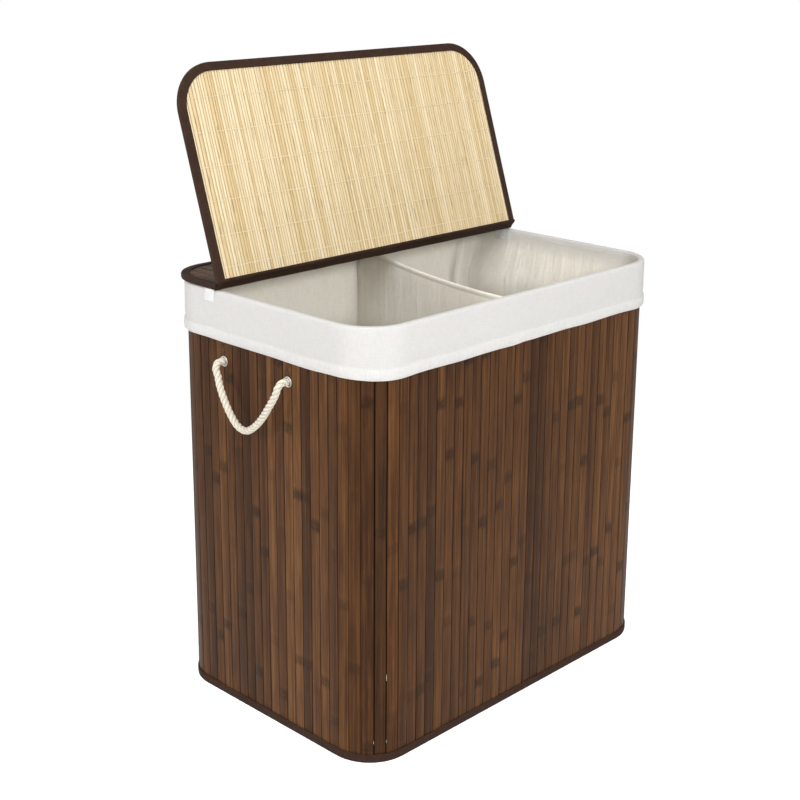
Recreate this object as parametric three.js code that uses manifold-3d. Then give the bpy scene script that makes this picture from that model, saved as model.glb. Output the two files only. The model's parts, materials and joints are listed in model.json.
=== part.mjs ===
// Folding bamboo laundry hamper with two cloth bins, a hinged lid and two rope handles.
// Millimetres, +Z up. The origin is at floor level, under the middle of the body.
// X runs along the long sides, Y along the short sides, and the front faces -Y.
// An inset is a distance inwards from the outer face of the wall slats.
import * as THREE from 'three';
import { mergeVertices } from 'three/addons/utils/BufferGeometryUtils.js';
import Module from 'manifold-3d';

const wasm = await Module();
wasm.setup();

// Body
const bodyWidth = 600;
const bodyDepth = 400;
const rimHeight = 600;
const cornerRadius = 62;
const cornerSteps = 8;
const clearance = 0.3;
const cutOverrun = 4;

// Wall slats and the strip that closes the wall where its two ends meet
const slatPitch = 17;
const slatGroove = 1;
const slatThickness = 3;
const slatWeb = 0.8;
const shortestFacet = 0.8;
const closingStripWidth = 17.3;
const closingStripShare = 0.645;

// Cloth of the wall
const backingThickness = 1;
const edgeBindingThickness = 1.2;
const edgeBindingHeight = 12.5;

// Base board and its cloth hinge
const boardThickness = 4;
const tapeThickness = 1;
const tapeEndMargin = 28;
const tapeRise = 36;

// Liner: cuff folded out over the rim, hem along the cuff, loose walls inside
const linerThickness = 1.4;
const cuffHeight = 68;
const hemHeight = 16;
const hemExtraThickness = 0.6;
const cuffFlare = 0.6;
const rimRound = 1;
const cuffStraight = 10;
const linerStraight = 34;
const linerSlope = 36;
const linerSlackX = 20;
const dividerThickness = 3;
const dividerFrontDrop = 14;
const dividerBackDrop = 6;
const dividerSag = 8;
const dividerFrontOffset = -8;
const dividerBackOffset = 56;
const dividerSteps = 6;

// Cross brace on each short side: two flat strips, a rivet and four cloth pockets
const braceSideMargin = 22;
const braceBottom = 52;
const braceTopDrop = 160;
const braceWidth = 10;
const braceThickness = 2;
const rivetRadius = 2;
const rivetHeadRadius = 4;
const rivetHeadThickness = 0.8;
const rivetSides = 12;
const pocketLength = 28;
const pocketCloth = 1;
const pocketEndMargin = 6;

// Rope handles, their eyelets and washers
const ropeDiameter = 10;
const ropeSides = 8;
const ropeSteps = 34;
const handleCentreY = 16;
const handleSpacing = 130;
const handleDrop = 96;
const handleStandOff = 15;
const eyeletPlay = 0.4;
const eyeletWall = 0.6;
const eyeletFlangeRadius = 8.2;
const eyeletFlangeThickness = 1;
const eyeletLipRadius = 7.4;
const eyeletLipThickness = 0.5;
const washerRadius = 9.2;
const washerThickness = 0.8;
const eyeletSides = 16;
const knotRadius = 10.5;
const knotThickness = 12;
const knotSides = 10;
const knotSteps = 6;

// Lid and rear flap: bamboo slats outside, fine sticks inside, a stiff board between them
const flapDepth = 110;
const creaseGap = 1.4;
const creaseFoldRadius = 1;
const creaseSides = 8;
const lidOpenAngle = 108;
const lidSideOverhang = 4;
const lidFrontOverhang = 8;
const flapBackOverhang = 10;
const lidCornerRadius = 66;
const lidBindingWidth = 12.5;
const lidBindingThickness = 0.8;
const lidBindingRound = 0.5;
const outerMatThickness = 1.8;
const outerMatWeb = 0.8;
const lidBoardThickness = 1.2;
const innerMatThickness = 1.4;

// Clear clips that hold the flap's ends on the rim
const clipWidth = 20;
const clipThickness = 0.6;
const clipOutsideDrop = 17;
const clipInsideDrop = 19;
const clipSetBack = 3;
const clipFlareRoom = 0.3;

const walnut = 0x4a3122;
const walnutDark = 0x33241c;
const naturalBamboo = 0xd9c193;
const bindingBrown = 0x2e211b;
const backingBrown = 0x3a2c24;
const linenWhite = 0xe6e1d8;
const boardGrey = 0x6d6257;
const ropeCream = 0xe9dfc9;
const steelBright = 0xc9c9c6;
const steelDull = 0x8f8f8c;
const clearPlastic = 0xeef0f0;

const ropeRadius = ropeDiameter / 2;
const handleHeight = rimHeight - handleDrop;
const halfWidth = bodyWidth / 2;
const halfDepth = bodyDepth / 2;
const quarterTurn = Math.PI / 2;

// Insets of the layers of the wall, from outside to inside
const backingOuter = slatThickness + clearance;
const backingInner = backingOuter + backingThickness;
const bindingOutside = -(clearance + edgeBindingThickness);
const bindingInnerLeg = backingInner + clearance;
const bindingInside = bindingInnerLeg + edgeBindingThickness;
const cuffInside = bindingOutside - clearance;
const cuffOutside = cuffInside - linerThickness;
const linerOuterTop = bindingInside + clearance;
const linerInnerTop = linerOuterTop + linerThickness;
const tapeOuter = bindingInside + clearance;
const linerOuterY = tapeOuter + tapeThickness + clearance;
const linerInnerY = linerOuterY + linerThickness;
const linerInnerX = linerSlackX + linerThickness;

// Levels, from the floor up
const slatBottom = edgeBindingThickness + clearance;
const floorClothBottom = boardThickness + clearance;
const linerBottom = floorClothBottom + linerThickness + clearance;
const cuffBottom = rimHeight - cuffHeight;
const hemTop = cuffBottom + hemHeight;
const topBindingTop = rimHeight - linerThickness - clearance;
const slatTop = topBindingTop - edgeBindingThickness - clearance;
const clipTop = rimHeight + clearance + clipThickness;

const lidThickness = 2 * lidBindingThickness + 4 * clearance
  + outerMatThickness + lidBoardThickness + innerMatThickness;
const flapBottom = clipTop + clearance;
const hingeHeight = flapBottom + lidThickness;
const creaseY = halfDepth - flapDepth;

const model = new THREE.Group();

function finish(color, roughness, metalness = 0) {
  return new THREE.MeshStandardMaterial({ color, roughness, metalness });
}

function addPiece(parent, name, geometry, material) {
  const mesh = new THREE.Mesh(geometry, material);
  mesh.name = name;
  parent.add(mesh);
  return mesh;
}

// Solids for cutting and joining

function toSolid(geometry) {
  const bare = geometry.clone();
  bare.deleteAttribute('normal');
  bare.deleteAttribute('uv');
  const merged = mergeVertices(bare);
  return new wasm.Manifold(new wasm.Mesh({
    numProp: 3,
    vertProperties: new Float32Array(merged.attributes.position.array),
    triVerts: new Uint32Array(merged.index.array),
  }));
}

function toGeometry(solid) {
  const mesh = solid.getMesh();
  const geometry = new THREE.BufferGeometry();
  geometry.setAttribute('position', new THREE.BufferAttribute(mesh.vertProperties, 3));
  geometry.setIndex(new THREE.BufferAttribute(mesh.triVerts, 1));
  return geometry;
}

function extrudeOutline(points, bottom, top) {
  const shape = new THREE.Shape(points);
  const geometry = new THREE.ExtrudeGeometry(shape, { depth: top - bottom, bevelEnabled: false });
  return geometry.translate(0, 0, bottom);
}

// The wall's outline

// A rounded rectangle at the given insets, anticlockwise seen from above.
function wallLoop(insetX, insetY) {
  const radius = cornerRadius - Math.max(insetX, insetY);
  const centreX = halfWidth - insetX - radius;
  const centreY = halfDepth - insetY - radius;
  const points = [];
  for (let corner = 0; corner < 4; corner += 1) {
    const signX = corner === 0 || corner === 3 ? 1 : -1;
    const signY = corner < 2 ? 1 : -1;
    for (let step = 0; step <= cornerSteps; step += 1) {
      const angle = (corner + step / cornerSteps) * quarterTurn;
      points.push(new THREE.Vector2(
        signX * centreX + radius * Math.cos(angle),
        signY * centreY + radius * Math.sin(angle),
      ));
    }
  }
  return points;
}

const flatX = halfWidth - cornerRadius;
const flatY = halfDepth - cornerRadius;
const cornerLength = quarterTurn * cornerRadius;
const perimeter = 4 * (flatX + flatY + cornerLength);

// Front, right, back and left sides, each followed by the corner at its far end.
const sides = [
  { flat: 2 * flatX, corner: [flatX, -flatY] },
  { flat: 2 * flatY, corner: [flatX, flatY] },
  { flat: 2 * flatX, corner: [-flatX, flatY] },
  { flat: 2 * flatY, corner: [-flatX, -flatY] },
];

// The point at a distance along the outline, measured anticlockwise from the front's left end.
function outlinePoint(distance, inset) {
  let rest = ((distance % perimeter) + perimeter) % perimeter;
  const radius = cornerRadius - inset;
  for (let index = 0; index < sides.length; index += 1) {
    const normalAngle = (index - 1) * quarterTurn;
    const { flat, corner } = sides[index];
    const [x, y] = corner;
    if (rest <= flat) {
      const back = flat - rest;
      const along = index * quarterTurn;
      return new THREE.Vector2(
        x - back * Math.cos(along) + radius * Math.cos(normalAngle),
        y - back * Math.sin(along) + radius * Math.sin(normalAngle),
      );
    }
    rest -= flat;
    if (rest <= cornerLength) {
      const angle = normalAngle + rest / cornerRadius;
      return new THREE.Vector2(x + radius * Math.cos(angle), y + radius * Math.sin(angle));
    }
    rest -= cornerLength;
  }
  return outlinePoint(0, inset);
}

// Distances along the outline where the wall's loops have their corners.
const loopStations = [];
{
  let start = -perimeter;
  for (let lap = 0; lap < 3; lap += 1) {
    for (const side of sides) {
      start += side.flat;
      for (let step = 0; step <= cornerSteps; step += 1) {
        loopStations.push(start + (step / cornerSteps) * cornerLength);
      }
      start += cornerLength;
    }
  }
}

function stationsBetween(from, to) {
  const isInside = (station) => station > from + shortestFacet && station < to - shortestFacet;
  return [from, ...loopStations.filter(isInside), to];
}

// Ring bodies

// Joins a closed cross-section to itself all round a closed loop. The section runs up its
// outer side and down its inner side.
function ringSolid(sections) {
  const count = sections[0].length;
  const positions = [];
  const index = [];
  for (const ring of sections) {
    for (const point of ring) positions.push(point.x, point.y, point.z);
  }
  for (let i = 0; i < sections.length; i += 1) {
    const next = ((i + 1) % sections.length) * count;
    for (let j = 0; j < count; j += 1) {
      const k = (j + 1) % count;
      const here = i * count;
      index.push(here + j, here + k, next + k, here + j, next + k, next + j);
    }
  }
  const geometry = new THREE.BufferGeometry();
  geometry.setAttribute('position', new THREE.Float32BufferAttribute(positions, 3));
  geometry.setIndex(index);
  return geometry;
}

function lifted(points, z) {
  return points.map((point) => new THREE.Vector3(point.x, point.y, z));
}

// A section is a list of [insetX, insetY, z].
function wallRing(section) {
  return ringSolid(section.map(([insetX, insetY, z]) => lifted(wallLoop(insetX, insetY), z)));
}

function evenRing(section) {
  return wallRing(section.map(([inset, z]) => [inset, inset, z]));
}

// Wall slats

const stripCentre = perimeter - cornerLength * (1 - closingStripShare);
const slatCount = Math.round((perimeter - closingStripWidth) / slatPitch);
const fittedPitch = (perimeter - closingStripWidth) / slatCount;
const firstSlat = stripCentre - perimeter + closingStripWidth / 2;

// One panel of slats: flat faces with grooves between them, on a thin web.
function slatPanel(first, last) {
  const outer = [];
  for (let slat = first; slat <= last; slat += 1) {
    const start = firstSlat + slat * fittedPitch + slatGroove / 2;
    const a = outlinePoint(start, 0);
    const b = outlinePoint(start + fittedPitch - slatGroove, 0);
    const along = b.clone().sub(a).normalize();
    const depth = slatThickness - slatWeb;
    const inwards = new THREE.Vector2(-along.y, along.x).multiplyScalar(depth);
    if (slat > first) outer.push(a.clone().add(inwards));
    outer.push(a, b);
    if (slat < last) outer.push(b.clone().add(inwards));
  }
  const from = firstSlat + first * fittedPitch + slatGroove / 2;
  const to = firstSlat + (last + 1) * fittedPitch - slatGroove / 2;
  const inner = stationsBetween(from, to).map((station) => outlinePoint(station, slatThickness));
  return extrudeOutline([...outer, ...inner.reverse()], slatBottom, slatTop);
}

const eyeletPlaces = [-1, 1].flatMap((side) => [-1, 1].map((end) => ({
  side,
  end,
  y: handleCentreY + end * handleSpacing / 2,
})));
const barrelRadius = ropeRadius + eyeletPlay + eyeletWall;

// Cuts the handle holes of one short side through a layer of the wall.
function cutHandleHoles(geometry, side) {
  let solid = toSolid(geometry);
  for (const place of eyeletPlaces.filter((each) => each.side === side)) {
    const length = backingInner + 2 * cutOverrun;
    const drill = new THREE.CylinderGeometry(
      barrelRadius + clearance,
      barrelRadius + clearance,
      length,
      eyeletSides,
    );
    drill.rotateZ(quarterTurn);
    drill.translate(side * (halfWidth - backingInner / 2), place.y, handleHeight);
    solid = solid.subtract(toSolid(drill));
  }
  return toGeometry(solid);
}

const panelNames = [
  'slats_front', 'corner_slats_front_right', 'slats_right', 'corner_slats_back_right',
  'slats_back', 'corner_slats_back_left', 'slats_left', 'corner_slats_front_left',
];
{
  // Where each panel ends along the outline; the first one starts at the closing strip.
  const ends = [];
  let reach = 0;
  for (const side of sides) {
    reach += side.flat;
    ends.push(reach);
    reach += cornerLength;
    ends.push(reach);
  }
  let first = 0;
  panelNames.forEach((name, panel) => {
    let last = first;
    const isLast = panel === panelNames.length - 1;
    const centreOf = (slat) => firstSlat + (slat + 1 / 2) * fittedPitch;
    while (last + 1 < slatCount && (isLast || centreOf(last + 1) < ends[panel])) last += 1;
    let geometry = slatPanel(first, last);
    if (name === 'slats_left') geometry = cutHandleHoles(geometry, -1);
    if (name === 'slats_right') geometry = cutHandleHoles(geometry, 1);
    addPiece(model, name, geometry, finish(walnut, 0.55));
    first = last + 1;
  });
}

{
  const from = stripCentre - closingStripWidth / 2 + slatGroove / 2;
  const to = from + closingStripWidth - slatGroove;
  const outer = stationsBetween(from, to).map((station) => outlinePoint(station, 0));
  const inner = stationsBetween(from, to).map((station) => outlinePoint(station, slatThickness));
  const geometry = extrudeOutline([...outer, ...inner.reverse()], slatBottom, slatTop);
  addPiece(model, 'closing_strip', geometry, finish(walnutDark, 0.7));
}

// Cloth of the wall

{
  let geometry = evenRing([
    [backingOuter, slatBottom],
    [backingOuter, slatTop],
    [backingInner, slatTop],
    [backingInner, slatBottom],
  ]);
  geometry = cutHandleHoles(geometry, -1);
  geometry = cutHandleHoles(geometry, 1);
  addPiece(model, 'wall_backing', geometry, finish(backingBrown, 0.95));
}

addPiece(model, 'bottom_binding', evenRing([
  [bindingOutside, 0],
  [bindingOutside, edgeBindingHeight],
  [-clearance, edgeBindingHeight],
  [-clearance, edgeBindingThickness],
  [bindingInnerLeg, edgeBindingThickness],
  [bindingInnerLeg, edgeBindingHeight],
  [bindingInside, edgeBindingHeight],
  [bindingInside, 0],
]), finish(bindingBrown, 0.9));

addPiece(model, 'top_binding', evenRing([
  [bindingOutside, topBindingTop - edgeBindingHeight],
  [bindingOutside, topBindingTop],
  [bindingInside, topBindingTop],
  [bindingInside, topBindingTop - edgeBindingHeight],
  [bindingInnerLeg, topBindingTop - edgeBindingHeight],
  [bindingInnerLeg, topBindingTop - edgeBindingThickness],
  [-clearance, topBindingTop - edgeBindingThickness],
  [-clearance, topBindingTop - edgeBindingHeight],
]), finish(bindingBrown, 0.9));

// Base board, hinged to the back wall by a strip of tape

const boardInset = bindingInside + clearance;
const boardBackInset = linerOuterY;
{
  const outline = wallLoop(boardInset, boardInset).map((point) => new THREE.Vector2(
    point.x,
    Math.min(point.y, halfDepth - boardBackInset),
  ));
  const corners = outline.filter((point, index) => {
    const before = outline[(index + outline.length - 1) % outline.length];
    const after = outline[(index + 1) % outline.length];
    return !(point.y === before.y && point.y === after.y);
  });
  addPiece(model, 'base_board', extrudeOutline(corners, 0, boardThickness), finish(boardGrey, 0.9));
}
{
  const tapeLength = 2 * (flatX - tapeEndMargin);
  const geometry = new THREE.BoxGeometry(tapeLength, tapeThickness, tapeRise);
  geometry.translate(0, halfDepth - tapeOuter - tapeThickness / 2, clearance + tapeRise / 2);
  addPiece(model, 'base_hinge_tape', geometry, finish(backingBrown, 0.95));
}

// Liner

{
  const straightBottom = rimHeight - linerStraight;
  const slackTop = straightBottom - linerSlope;
  const cuffTop = rimHeight - cuffStraight;
  const hemOutside = cuffOutside - cuffFlare - hemExtraThickness;
  addPiece(model, 'liner_wall', wallRing([
    [hemOutside, hemOutside, cuffBottom],
    [hemOutside, hemOutside, hemTop],
    [cuffOutside - cuffFlare, cuffOutside - cuffFlare, hemTop + hemExtraThickness],
    [cuffOutside, cuffOutside, cuffTop],
    [cuffOutside, cuffOutside, rimHeight - rimRound],
    [cuffOutside + rimRound, cuffOutside + rimRound, rimHeight],
    [linerInnerTop - rimRound, linerInnerTop - rimRound, rimHeight],
    [linerInnerTop, linerInnerTop, rimHeight - rimRound],
    [linerInnerTop, linerInnerTop, straightBottom],
    [linerInnerX, linerInnerY, slackTop],
    [linerInnerX, linerInnerY, linerBottom],
    [linerSlackX, linerOuterY, linerBottom],
    [linerSlackX, linerOuterY, slackTop],
    [linerOuterTop, linerOuterTop, straightBottom + linerThickness],
    [linerOuterTop, linerOuterTop, rimHeight - linerThickness],
    [cuffInside, cuffInside, rimHeight - linerThickness],
    [cuffInside, cuffInside, cuffTop],
    [cuffInside - cuffFlare, cuffInside - cuffFlare, hemTop],
    [cuffInside - cuffFlare, cuffInside - cuffFlare, cuffBottom],
  ]), finish(linenWhite, 0.95));

  const floorLoop = wallLoop(linerSlackX, linerOuterY);
  addPiece(
    model,
    'liner_floor',
    extrudeOutline(floorLoop, floorClothBottom, floorClothBottom + linerThickness),
    finish(linenWhite, 0.95),
  );
}

{
  // The divider's top edge sags a little, and its back end stands further right than its front end.
  const reach = halfDepth - linerInnerY - clearance;
  const shape = new THREE.Shape();
  shape.moveTo(-reach, linerBottom);
  shape.lineTo(reach, linerBottom);
  shape.lineTo(reach, rimHeight - dividerBackDrop);
  const middleDrop = (dividerBackDrop + dividerFrontDrop) / 2 + 2 * dividerSag;
  shape.quadraticCurveTo(0, rimHeight - middleDrop, -reach, rimHeight - dividerFrontDrop);
  const geometry = new THREE.ExtrudeGeometry(shape, {
    depth: dividerThickness,
    bevelEnabled: false,
    curveSegments: dividerSteps,
  });
  geometry.rotateX(quarterTurn);
  geometry.rotateZ(quarterTurn);
  const slant = (dividerBackOffset - dividerFrontOffset) / (2 * reach);
  geometry.applyMatrix4(new THREE.Matrix4().makeShear(0, 0, slant, 0, 0, 0));
  geometry.translate((dividerFrontOffset + dividerBackOffset - dividerThickness) / 2, 0, 0);
  addPiece(model, 'divider', geometry, finish(linenWhite, 0.95));
}

// Cross braces between the wall and the liner, one on each short side

const braceHalfSpan = flatY - braceSideMargin;
const braceTop = rimHeight - braceTopDrop;
const innerLayer = backingInner + clearance + pocketCloth + clearance + braceThickness / 2;
const outerLayer = innerLayer + braceThickness + clearance;
for (const [sideName, turn] of [['left', 0], ['right', 2 * quarterTurn]]) {
  // Inside this group +X points inwards from the wall's outer face.
  const wall = new THREE.Group();
  wall.rotation.z = turn;
  model.add(wall);
  const rise = braceTop - braceBottom;
  const length = Math.hypot(2 * braceHalfSpan, rise);
  const middle = braceBottom + rise / 2;
  for (const [layerName, inset, lean] of [['rear', innerLayer, 1], ['fore', outerLayer, -1]]) {
    const strip = new THREE.Group();
    strip.position.set(inset - halfWidth, 0, middle);
    strip.rotation.x = -lean * Math.atan2(2 * braceHalfSpan, rise);
    wall.add(strip);
    const bar = new THREE.BoxGeometry(braceThickness, braceWidth, length);
    const drill = new THREE.CylinderGeometry(
      rivetRadius + clearance,
      rivetRadius + clearance,
      braceThickness + 2 * cutOverrun,
      rivetSides,
    );
    drill.rotateZ(quarterTurn);
    const drilled = toGeometry(toSolid(bar).subtract(toSolid(drill)));
    addPiece(strip, `${sideName}_brace_${layerName}_leaning`, drilled, finish(steelDull, 0.4, 0.9));

    // A pocket is a flat sleeve round the strip, lying on the wall's backing.
    const sleeveBack = backingInner + clearance - inset;
    const sleeveFront = braceThickness / 2 + clearance + pocketCloth;
    const sleeveHalf = braceWidth / 2 + clearance + pocketCloth;
    const holeX = braceThickness / 2 + clearance;
    const holeY = braceWidth / 2 + clearance;
    for (const [endName, end] of [['lower', -1], ['upper', 1]]) {
      const sleeve = new THREE.Shape([
        new THREE.Vector2(sleeveBack, -sleeveHalf),
        new THREE.Vector2(sleeveFront, -sleeveHalf),
        new THREE.Vector2(sleeveFront, sleeveHalf),
        new THREE.Vector2(sleeveBack, sleeveHalf),
      ]);
      sleeve.holes.push(new THREE.Path([
        new THREE.Vector2(-holeX, -holeY),
        new THREE.Vector2(-holeX, holeY),
        new THREE.Vector2(holeX, holeY),
        new THREE.Vector2(holeX, -holeY),
      ]));
      const pocket = new THREE.ExtrudeGeometry(sleeve, { depth: pocketLength, bevelEnabled: false });
      pocket.translate(0, 0, -pocketLength / 2);
      const mesh = addPiece(
        strip,
        `${sideName}_brace_${layerName}_${endName}_pocket`,
        pocket,
        finish(backingBrown, 0.95),
      );
      mesh.position.z = end * (length / 2 - pocketLength / 2 - pocketEndMargin);
    }
  }

  const gripStart = innerLayer - braceThickness / 2 - clearance;
  const gripEnd = outerLayer + braceThickness / 2 + clearance;
  const rivet = new THREE.LatheGeometry([
    new THREE.Vector2(0, gripStart - rivetHeadThickness),
    new THREE.Vector2(rivetHeadRadius, gripStart - rivetHeadThickness),
    new THREE.Vector2(rivetHeadRadius, gripStart),
    new THREE.Vector2(rivetRadius, gripStart),
    new THREE.Vector2(rivetRadius, gripEnd),
    new THREE.Vector2(rivetHeadRadius, gripEnd),
    new THREE.Vector2(rivetHeadRadius, gripEnd + rivetHeadThickness),
    new THREE.Vector2(0, gripEnd + rivetHeadThickness),
  ], rivetSides);
  rivet.rotateZ(-quarterTurn);
  const rivetMesh = addPiece(wall, `${sideName}_brace_rivet`, rivet, finish(steelDull, 0.4, 0.9));
  rivetMesh.position.set(-halfWidth, 0, middle);
}

// Eyelets, washers and the knotted tails of the rope

const washerStart = backingInner + clearance;
const lipStart = washerStart + washerThickness + clearance;
const lipEnd = lipStart + eyeletLipThickness;
for (const { side, end, y } of eyeletPlaces) {
  const place = `${side < 0 ? 'left' : 'right'}_${end < 0 ? 'front' : 'back'}`;
  // A turned piece's axis points inwards through the wall.
  const seat = (mesh) => {
    mesh.rotation.z = side * quarterTurn;
    mesh.position.set(side * halfWidth, y, handleHeight);
  };
  const bore = ropeRadius + eyeletPlay;
  const flangeStart = -clearance - eyeletFlangeThickness;
  const eyelet = new THREE.LatheGeometry([
    new THREE.Vector2(bore, lipEnd),
    new THREE.Vector2(bore, flangeStart),
    new THREE.Vector2(eyeletFlangeRadius - eyeletFlangeThickness / 2, flangeStart),
    new THREE.Vector2(eyeletFlangeRadius, flangeStart + eyeletFlangeThickness / 2),
    new THREE.Vector2(eyeletFlangeRadius, -clearance),
    new THREE.Vector2(barrelRadius, -clearance),
    new THREE.Vector2(barrelRadius, lipStart),
    new THREE.Vector2(eyeletLipRadius, lipStart),
    new THREE.Vector2(eyeletLipRadius, lipEnd),
    new THREE.Vector2(bore, lipEnd),
  ], eyeletSides);
  seat(addPiece(model, `${place}_eyelet`, eyelet, finish(steelBright, 0.3, 1)));

  const washerBore = barrelRadius + clearance;
  const washer = new THREE.LatheGeometry([
    new THREE.Vector2(washerBore, washerStart + washerThickness),
    new THREE.Vector2(washerBore, washerStart),
    new THREE.Vector2(washerRadius, washerStart),
    new THREE.Vector2(washerRadius, washerStart + washerThickness),
    new THREE.Vector2(washerBore, washerStart + washerThickness),
  ], eyeletSides);
  seat(addPiece(model, `${place}_eyelet_washer`, washer, finish(steelBright, 0.3, 1)));

  const tailStart = -(handleStandOff - ropeRadius - clearance);
  const knotCentre = lipEnd + knotThickness / 2;
  const profile = [new THREE.Vector2(0, tailStart), new THREE.Vector2(ropeRadius, tailStart)];
  const neck = Math.asin(ropeRadius / knotRadius);
  for (let step = 0; step <= knotSteps; step += 1) {
    const angle = neck + (Math.PI - neck) * (step / knotSteps);
    profile.push(new THREE.Vector2(
      step === knotSteps ? 0 : knotRadius * Math.sin(angle),
      knotCentre - (knotThickness / 2) * Math.cos(angle),
    ));
  }
  const tail = new THREE.LatheGeometry(profile, knotSides);
  seat(addPiece(model, `${place}_rope_knot`, tail, finish(ropeCream, 0.9)));
}

// Rope handles

// The left loop's centreline, from the back hole to the front one.
const ropeRoute = [
  [-315, 80, 504], [-315.6, 78, 497], [-317.3, 74, 488.5], [-319, 69, 478.5], [-320, 62, 466],
  [-319.5, 55, 453], [-319, 46.5, 440.5], [-318.5, 36, 430], [-318, 25, 425], [-318, 13, 426],
  [-318.5, 1, 433], [-319, -11, 443], [-319.5, -22, 455], [-320, -32, 468], [-319, -39.5, 479.5],
  [-317.3, -44.5, 489.5], [-315.6, -47.5, 497], [-315, -49, 504],
];
for (const [sideName, mirror] of [['left', 1], ['right', -1]]) {
  const points = ropeRoute.map(([x, y, z]) => new THREE.Vector3(mirror * x, y, z));
  const path = new THREE.CatmullRomCurve3(points);
  const section = new THREE.Shape();
  for (let corner = 0; corner < ropeSides; corner += 1) {
    const angle = (corner / ropeSides) * 4 * quarterTurn;
    const draw = corner === 0 ? 'moveTo' : 'lineTo';
    section[draw](ropeRadius * Math.cos(angle), ropeRadius * Math.sin(angle));
  }
  let rope = toSolid(new THREE.ExtrudeGeometry(section, { steps: ropeSteps, extrudePath: path }));
  // A round end on the hinge line lets the loop swing close to its eyelet.
  for (const end of [points[0], points[points.length - 1]]) {
    const ball = new THREE.SphereGeometry(ropeRadius, ropeSides, ropeSides);
    ball.rotateZ(quarterTurn);
    ball.translate(end.x, end.y, end.z);
    rope = rope.add(toSolid(ball));
  }
  addPiece(model, `${sideName}_handle_rope`, toGeometry(rope), finish(ropeCream, 0.9));
}

// Lid and flap

// A sheet's outline, anticlockwise from its front left corner. A corner with no radius is square.
function sheetLoop(sheet, inset) {
  const { left, right, front, back, frontRadius, backRadius } = sheet;
  const corners = [
    [left + inset, front + inset, frontRadius, 1, 1],
    [right - inset, front + inset, frontRadius, -1, 1],
    [right - inset, back - inset, backRadius, -1, -1],
    [left + inset, back - inset, backRadius, 1, -1],
  ];
  return corners.flatMap(([x, y, fullRadius, toX, toY], corner) => {
    if (fullRadius === 0) return [new THREE.Vector2(x, y)];
    const radius = fullRadius - inset;
    return Array.from({ length: cornerSteps + 1 }, (_, step) => {
      const angle = (corner + 2 + step / cornerSteps) * quarterTurn;
      return new THREE.Vector2(
        x + toX * radius + radius * Math.cos(angle),
        y + toY * radius + radius * Math.sin(angle),
      );
    });
  });
}

// Slats lying side by side along Y, cut to the sheet's outline.
function slattedMat(sheet, inset, bottom, top) {
  const left = sheet.left + inset;
  const width = sheet.right - inset - left;
  const count = Math.round(width / slatPitch);
  const pitch = width / count;
  const web = bottom + outerMatWeb;
  const comb = [new THREE.Vector2(left, bottom), new THREE.Vector2(left + width, bottom)];
  for (let slat = count - 1; slat >= 0; slat -= 1) {
    const from = left + slat * pitch + (slat > 0 ? slatGroove / 2 : 0);
    const to = left + (slat + 1) * pitch - (slat < count - 1 ? slatGroove / 2 : 0);
    if (slat < count - 1) comb.push(new THREE.Vector2(to, web));
    comb.push(new THREE.Vector2(to, top), new THREE.Vector2(from, top));
    if (slat > 0) comb.push(new THREE.Vector2(from, web));
  }
  const depth = sheet.back - sheet.front + 2 * cutOverrun;
  const ribbed = new THREE.ExtrudeGeometry(new THREE.Shape(comb), { depth, bevelEnabled: false });
  ribbed.rotateX(quarterTurn);
  ribbed.translate(0, sheet.back + cutOverrun, 0);
  const outline = extrudeOutline(sheetLoop(sheet, inset), bottom - cutOverrun, top + cutOverrun);
  return toGeometry(toSolid(ribbed).intersect(toSolid(outline)));
}

// The layers of a lid or a flap whose top face is at height 0.
function addSheetLayers(parent, prefix, sheet) {
  const bottom = -lidThickness;
  const matInset = lidBindingThickness + clearance;
  const innerMatBottom = bottom + lidBindingThickness + clearance;
  const innerMatTop = innerMatBottom + innerMatThickness;
  const boardBottom = innerMatTop + clearance;
  const boardTop = boardBottom + lidBoardThickness;
  const outerMatBottom = boardTop + clearance;
  const outerMatTop = outerMatBottom + outerMatThickness;
  addPiece(
    parent,
    `${prefix}_outer_mat`,
    slattedMat(sheet, matInset, outerMatBottom, outerMatTop),
    finish(walnut, 0.55),
  );
  addPiece(
    parent,
    `${prefix}_board`,
    extrudeOutline(sheetLoop(sheet, matInset), boardBottom, boardTop),
    finish(boardGrey, 0.9),
  );
  addPiece(
    parent,
    `${prefix}_inner_mat`,
    extrudeOutline(sheetLoop(sheet, matInset), innerMatBottom, innerMatTop),
    finish(naturalBamboo, 0.6),
  );
  const binding = [
    [0, bottom + lidBindingRound],
    [0, -lidBindingRound],
    [lidBindingRound, 0],
    [lidBindingWidth, 0],
    [lidBindingWidth, -lidBindingThickness],
    [lidBindingThickness, -lidBindingThickness],
    [lidBindingThickness, bottom + lidBindingThickness],
    [lidBindingWidth, bottom + lidBindingThickness],
    [lidBindingWidth, bottom],
    [lidBindingRound, bottom],
  ];
  addPiece(
    parent,
    `${prefix}_binding`,
    ringSolid(binding.map(([inset, z]) => lifted(sheetLoop(sheet, inset), z))),
    finish(bindingBrown, 0.9),
  );
}

const sheetSide = halfWidth + lidSideOverhang;

const flap = new THREE.Group();
flap.position.set(0, creaseY, hingeHeight);
model.add(flap);
addSheetLayers(flap, 'flap', {
  left: -sheetSide,
  right: sheetSide,
  front: creaseGap,
  back: flapDepth + flapBackOverhang,
  frontRadius: 0,
  backRadius: lidCornerRadius,
});

// The fold of cloth that joins flap and lid lies on the hinge line.
{
  const geometry = new THREE.CylinderGeometry(
    creaseFoldRadius,
    creaseFoldRadius,
    2 * sheetSide,
    creaseSides,
  );
  geometry.rotateZ(quarterTurn);
  addPiece(flap, 'crease_fold', geometry, finish(bindingBrown, 0.9));
}

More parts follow.
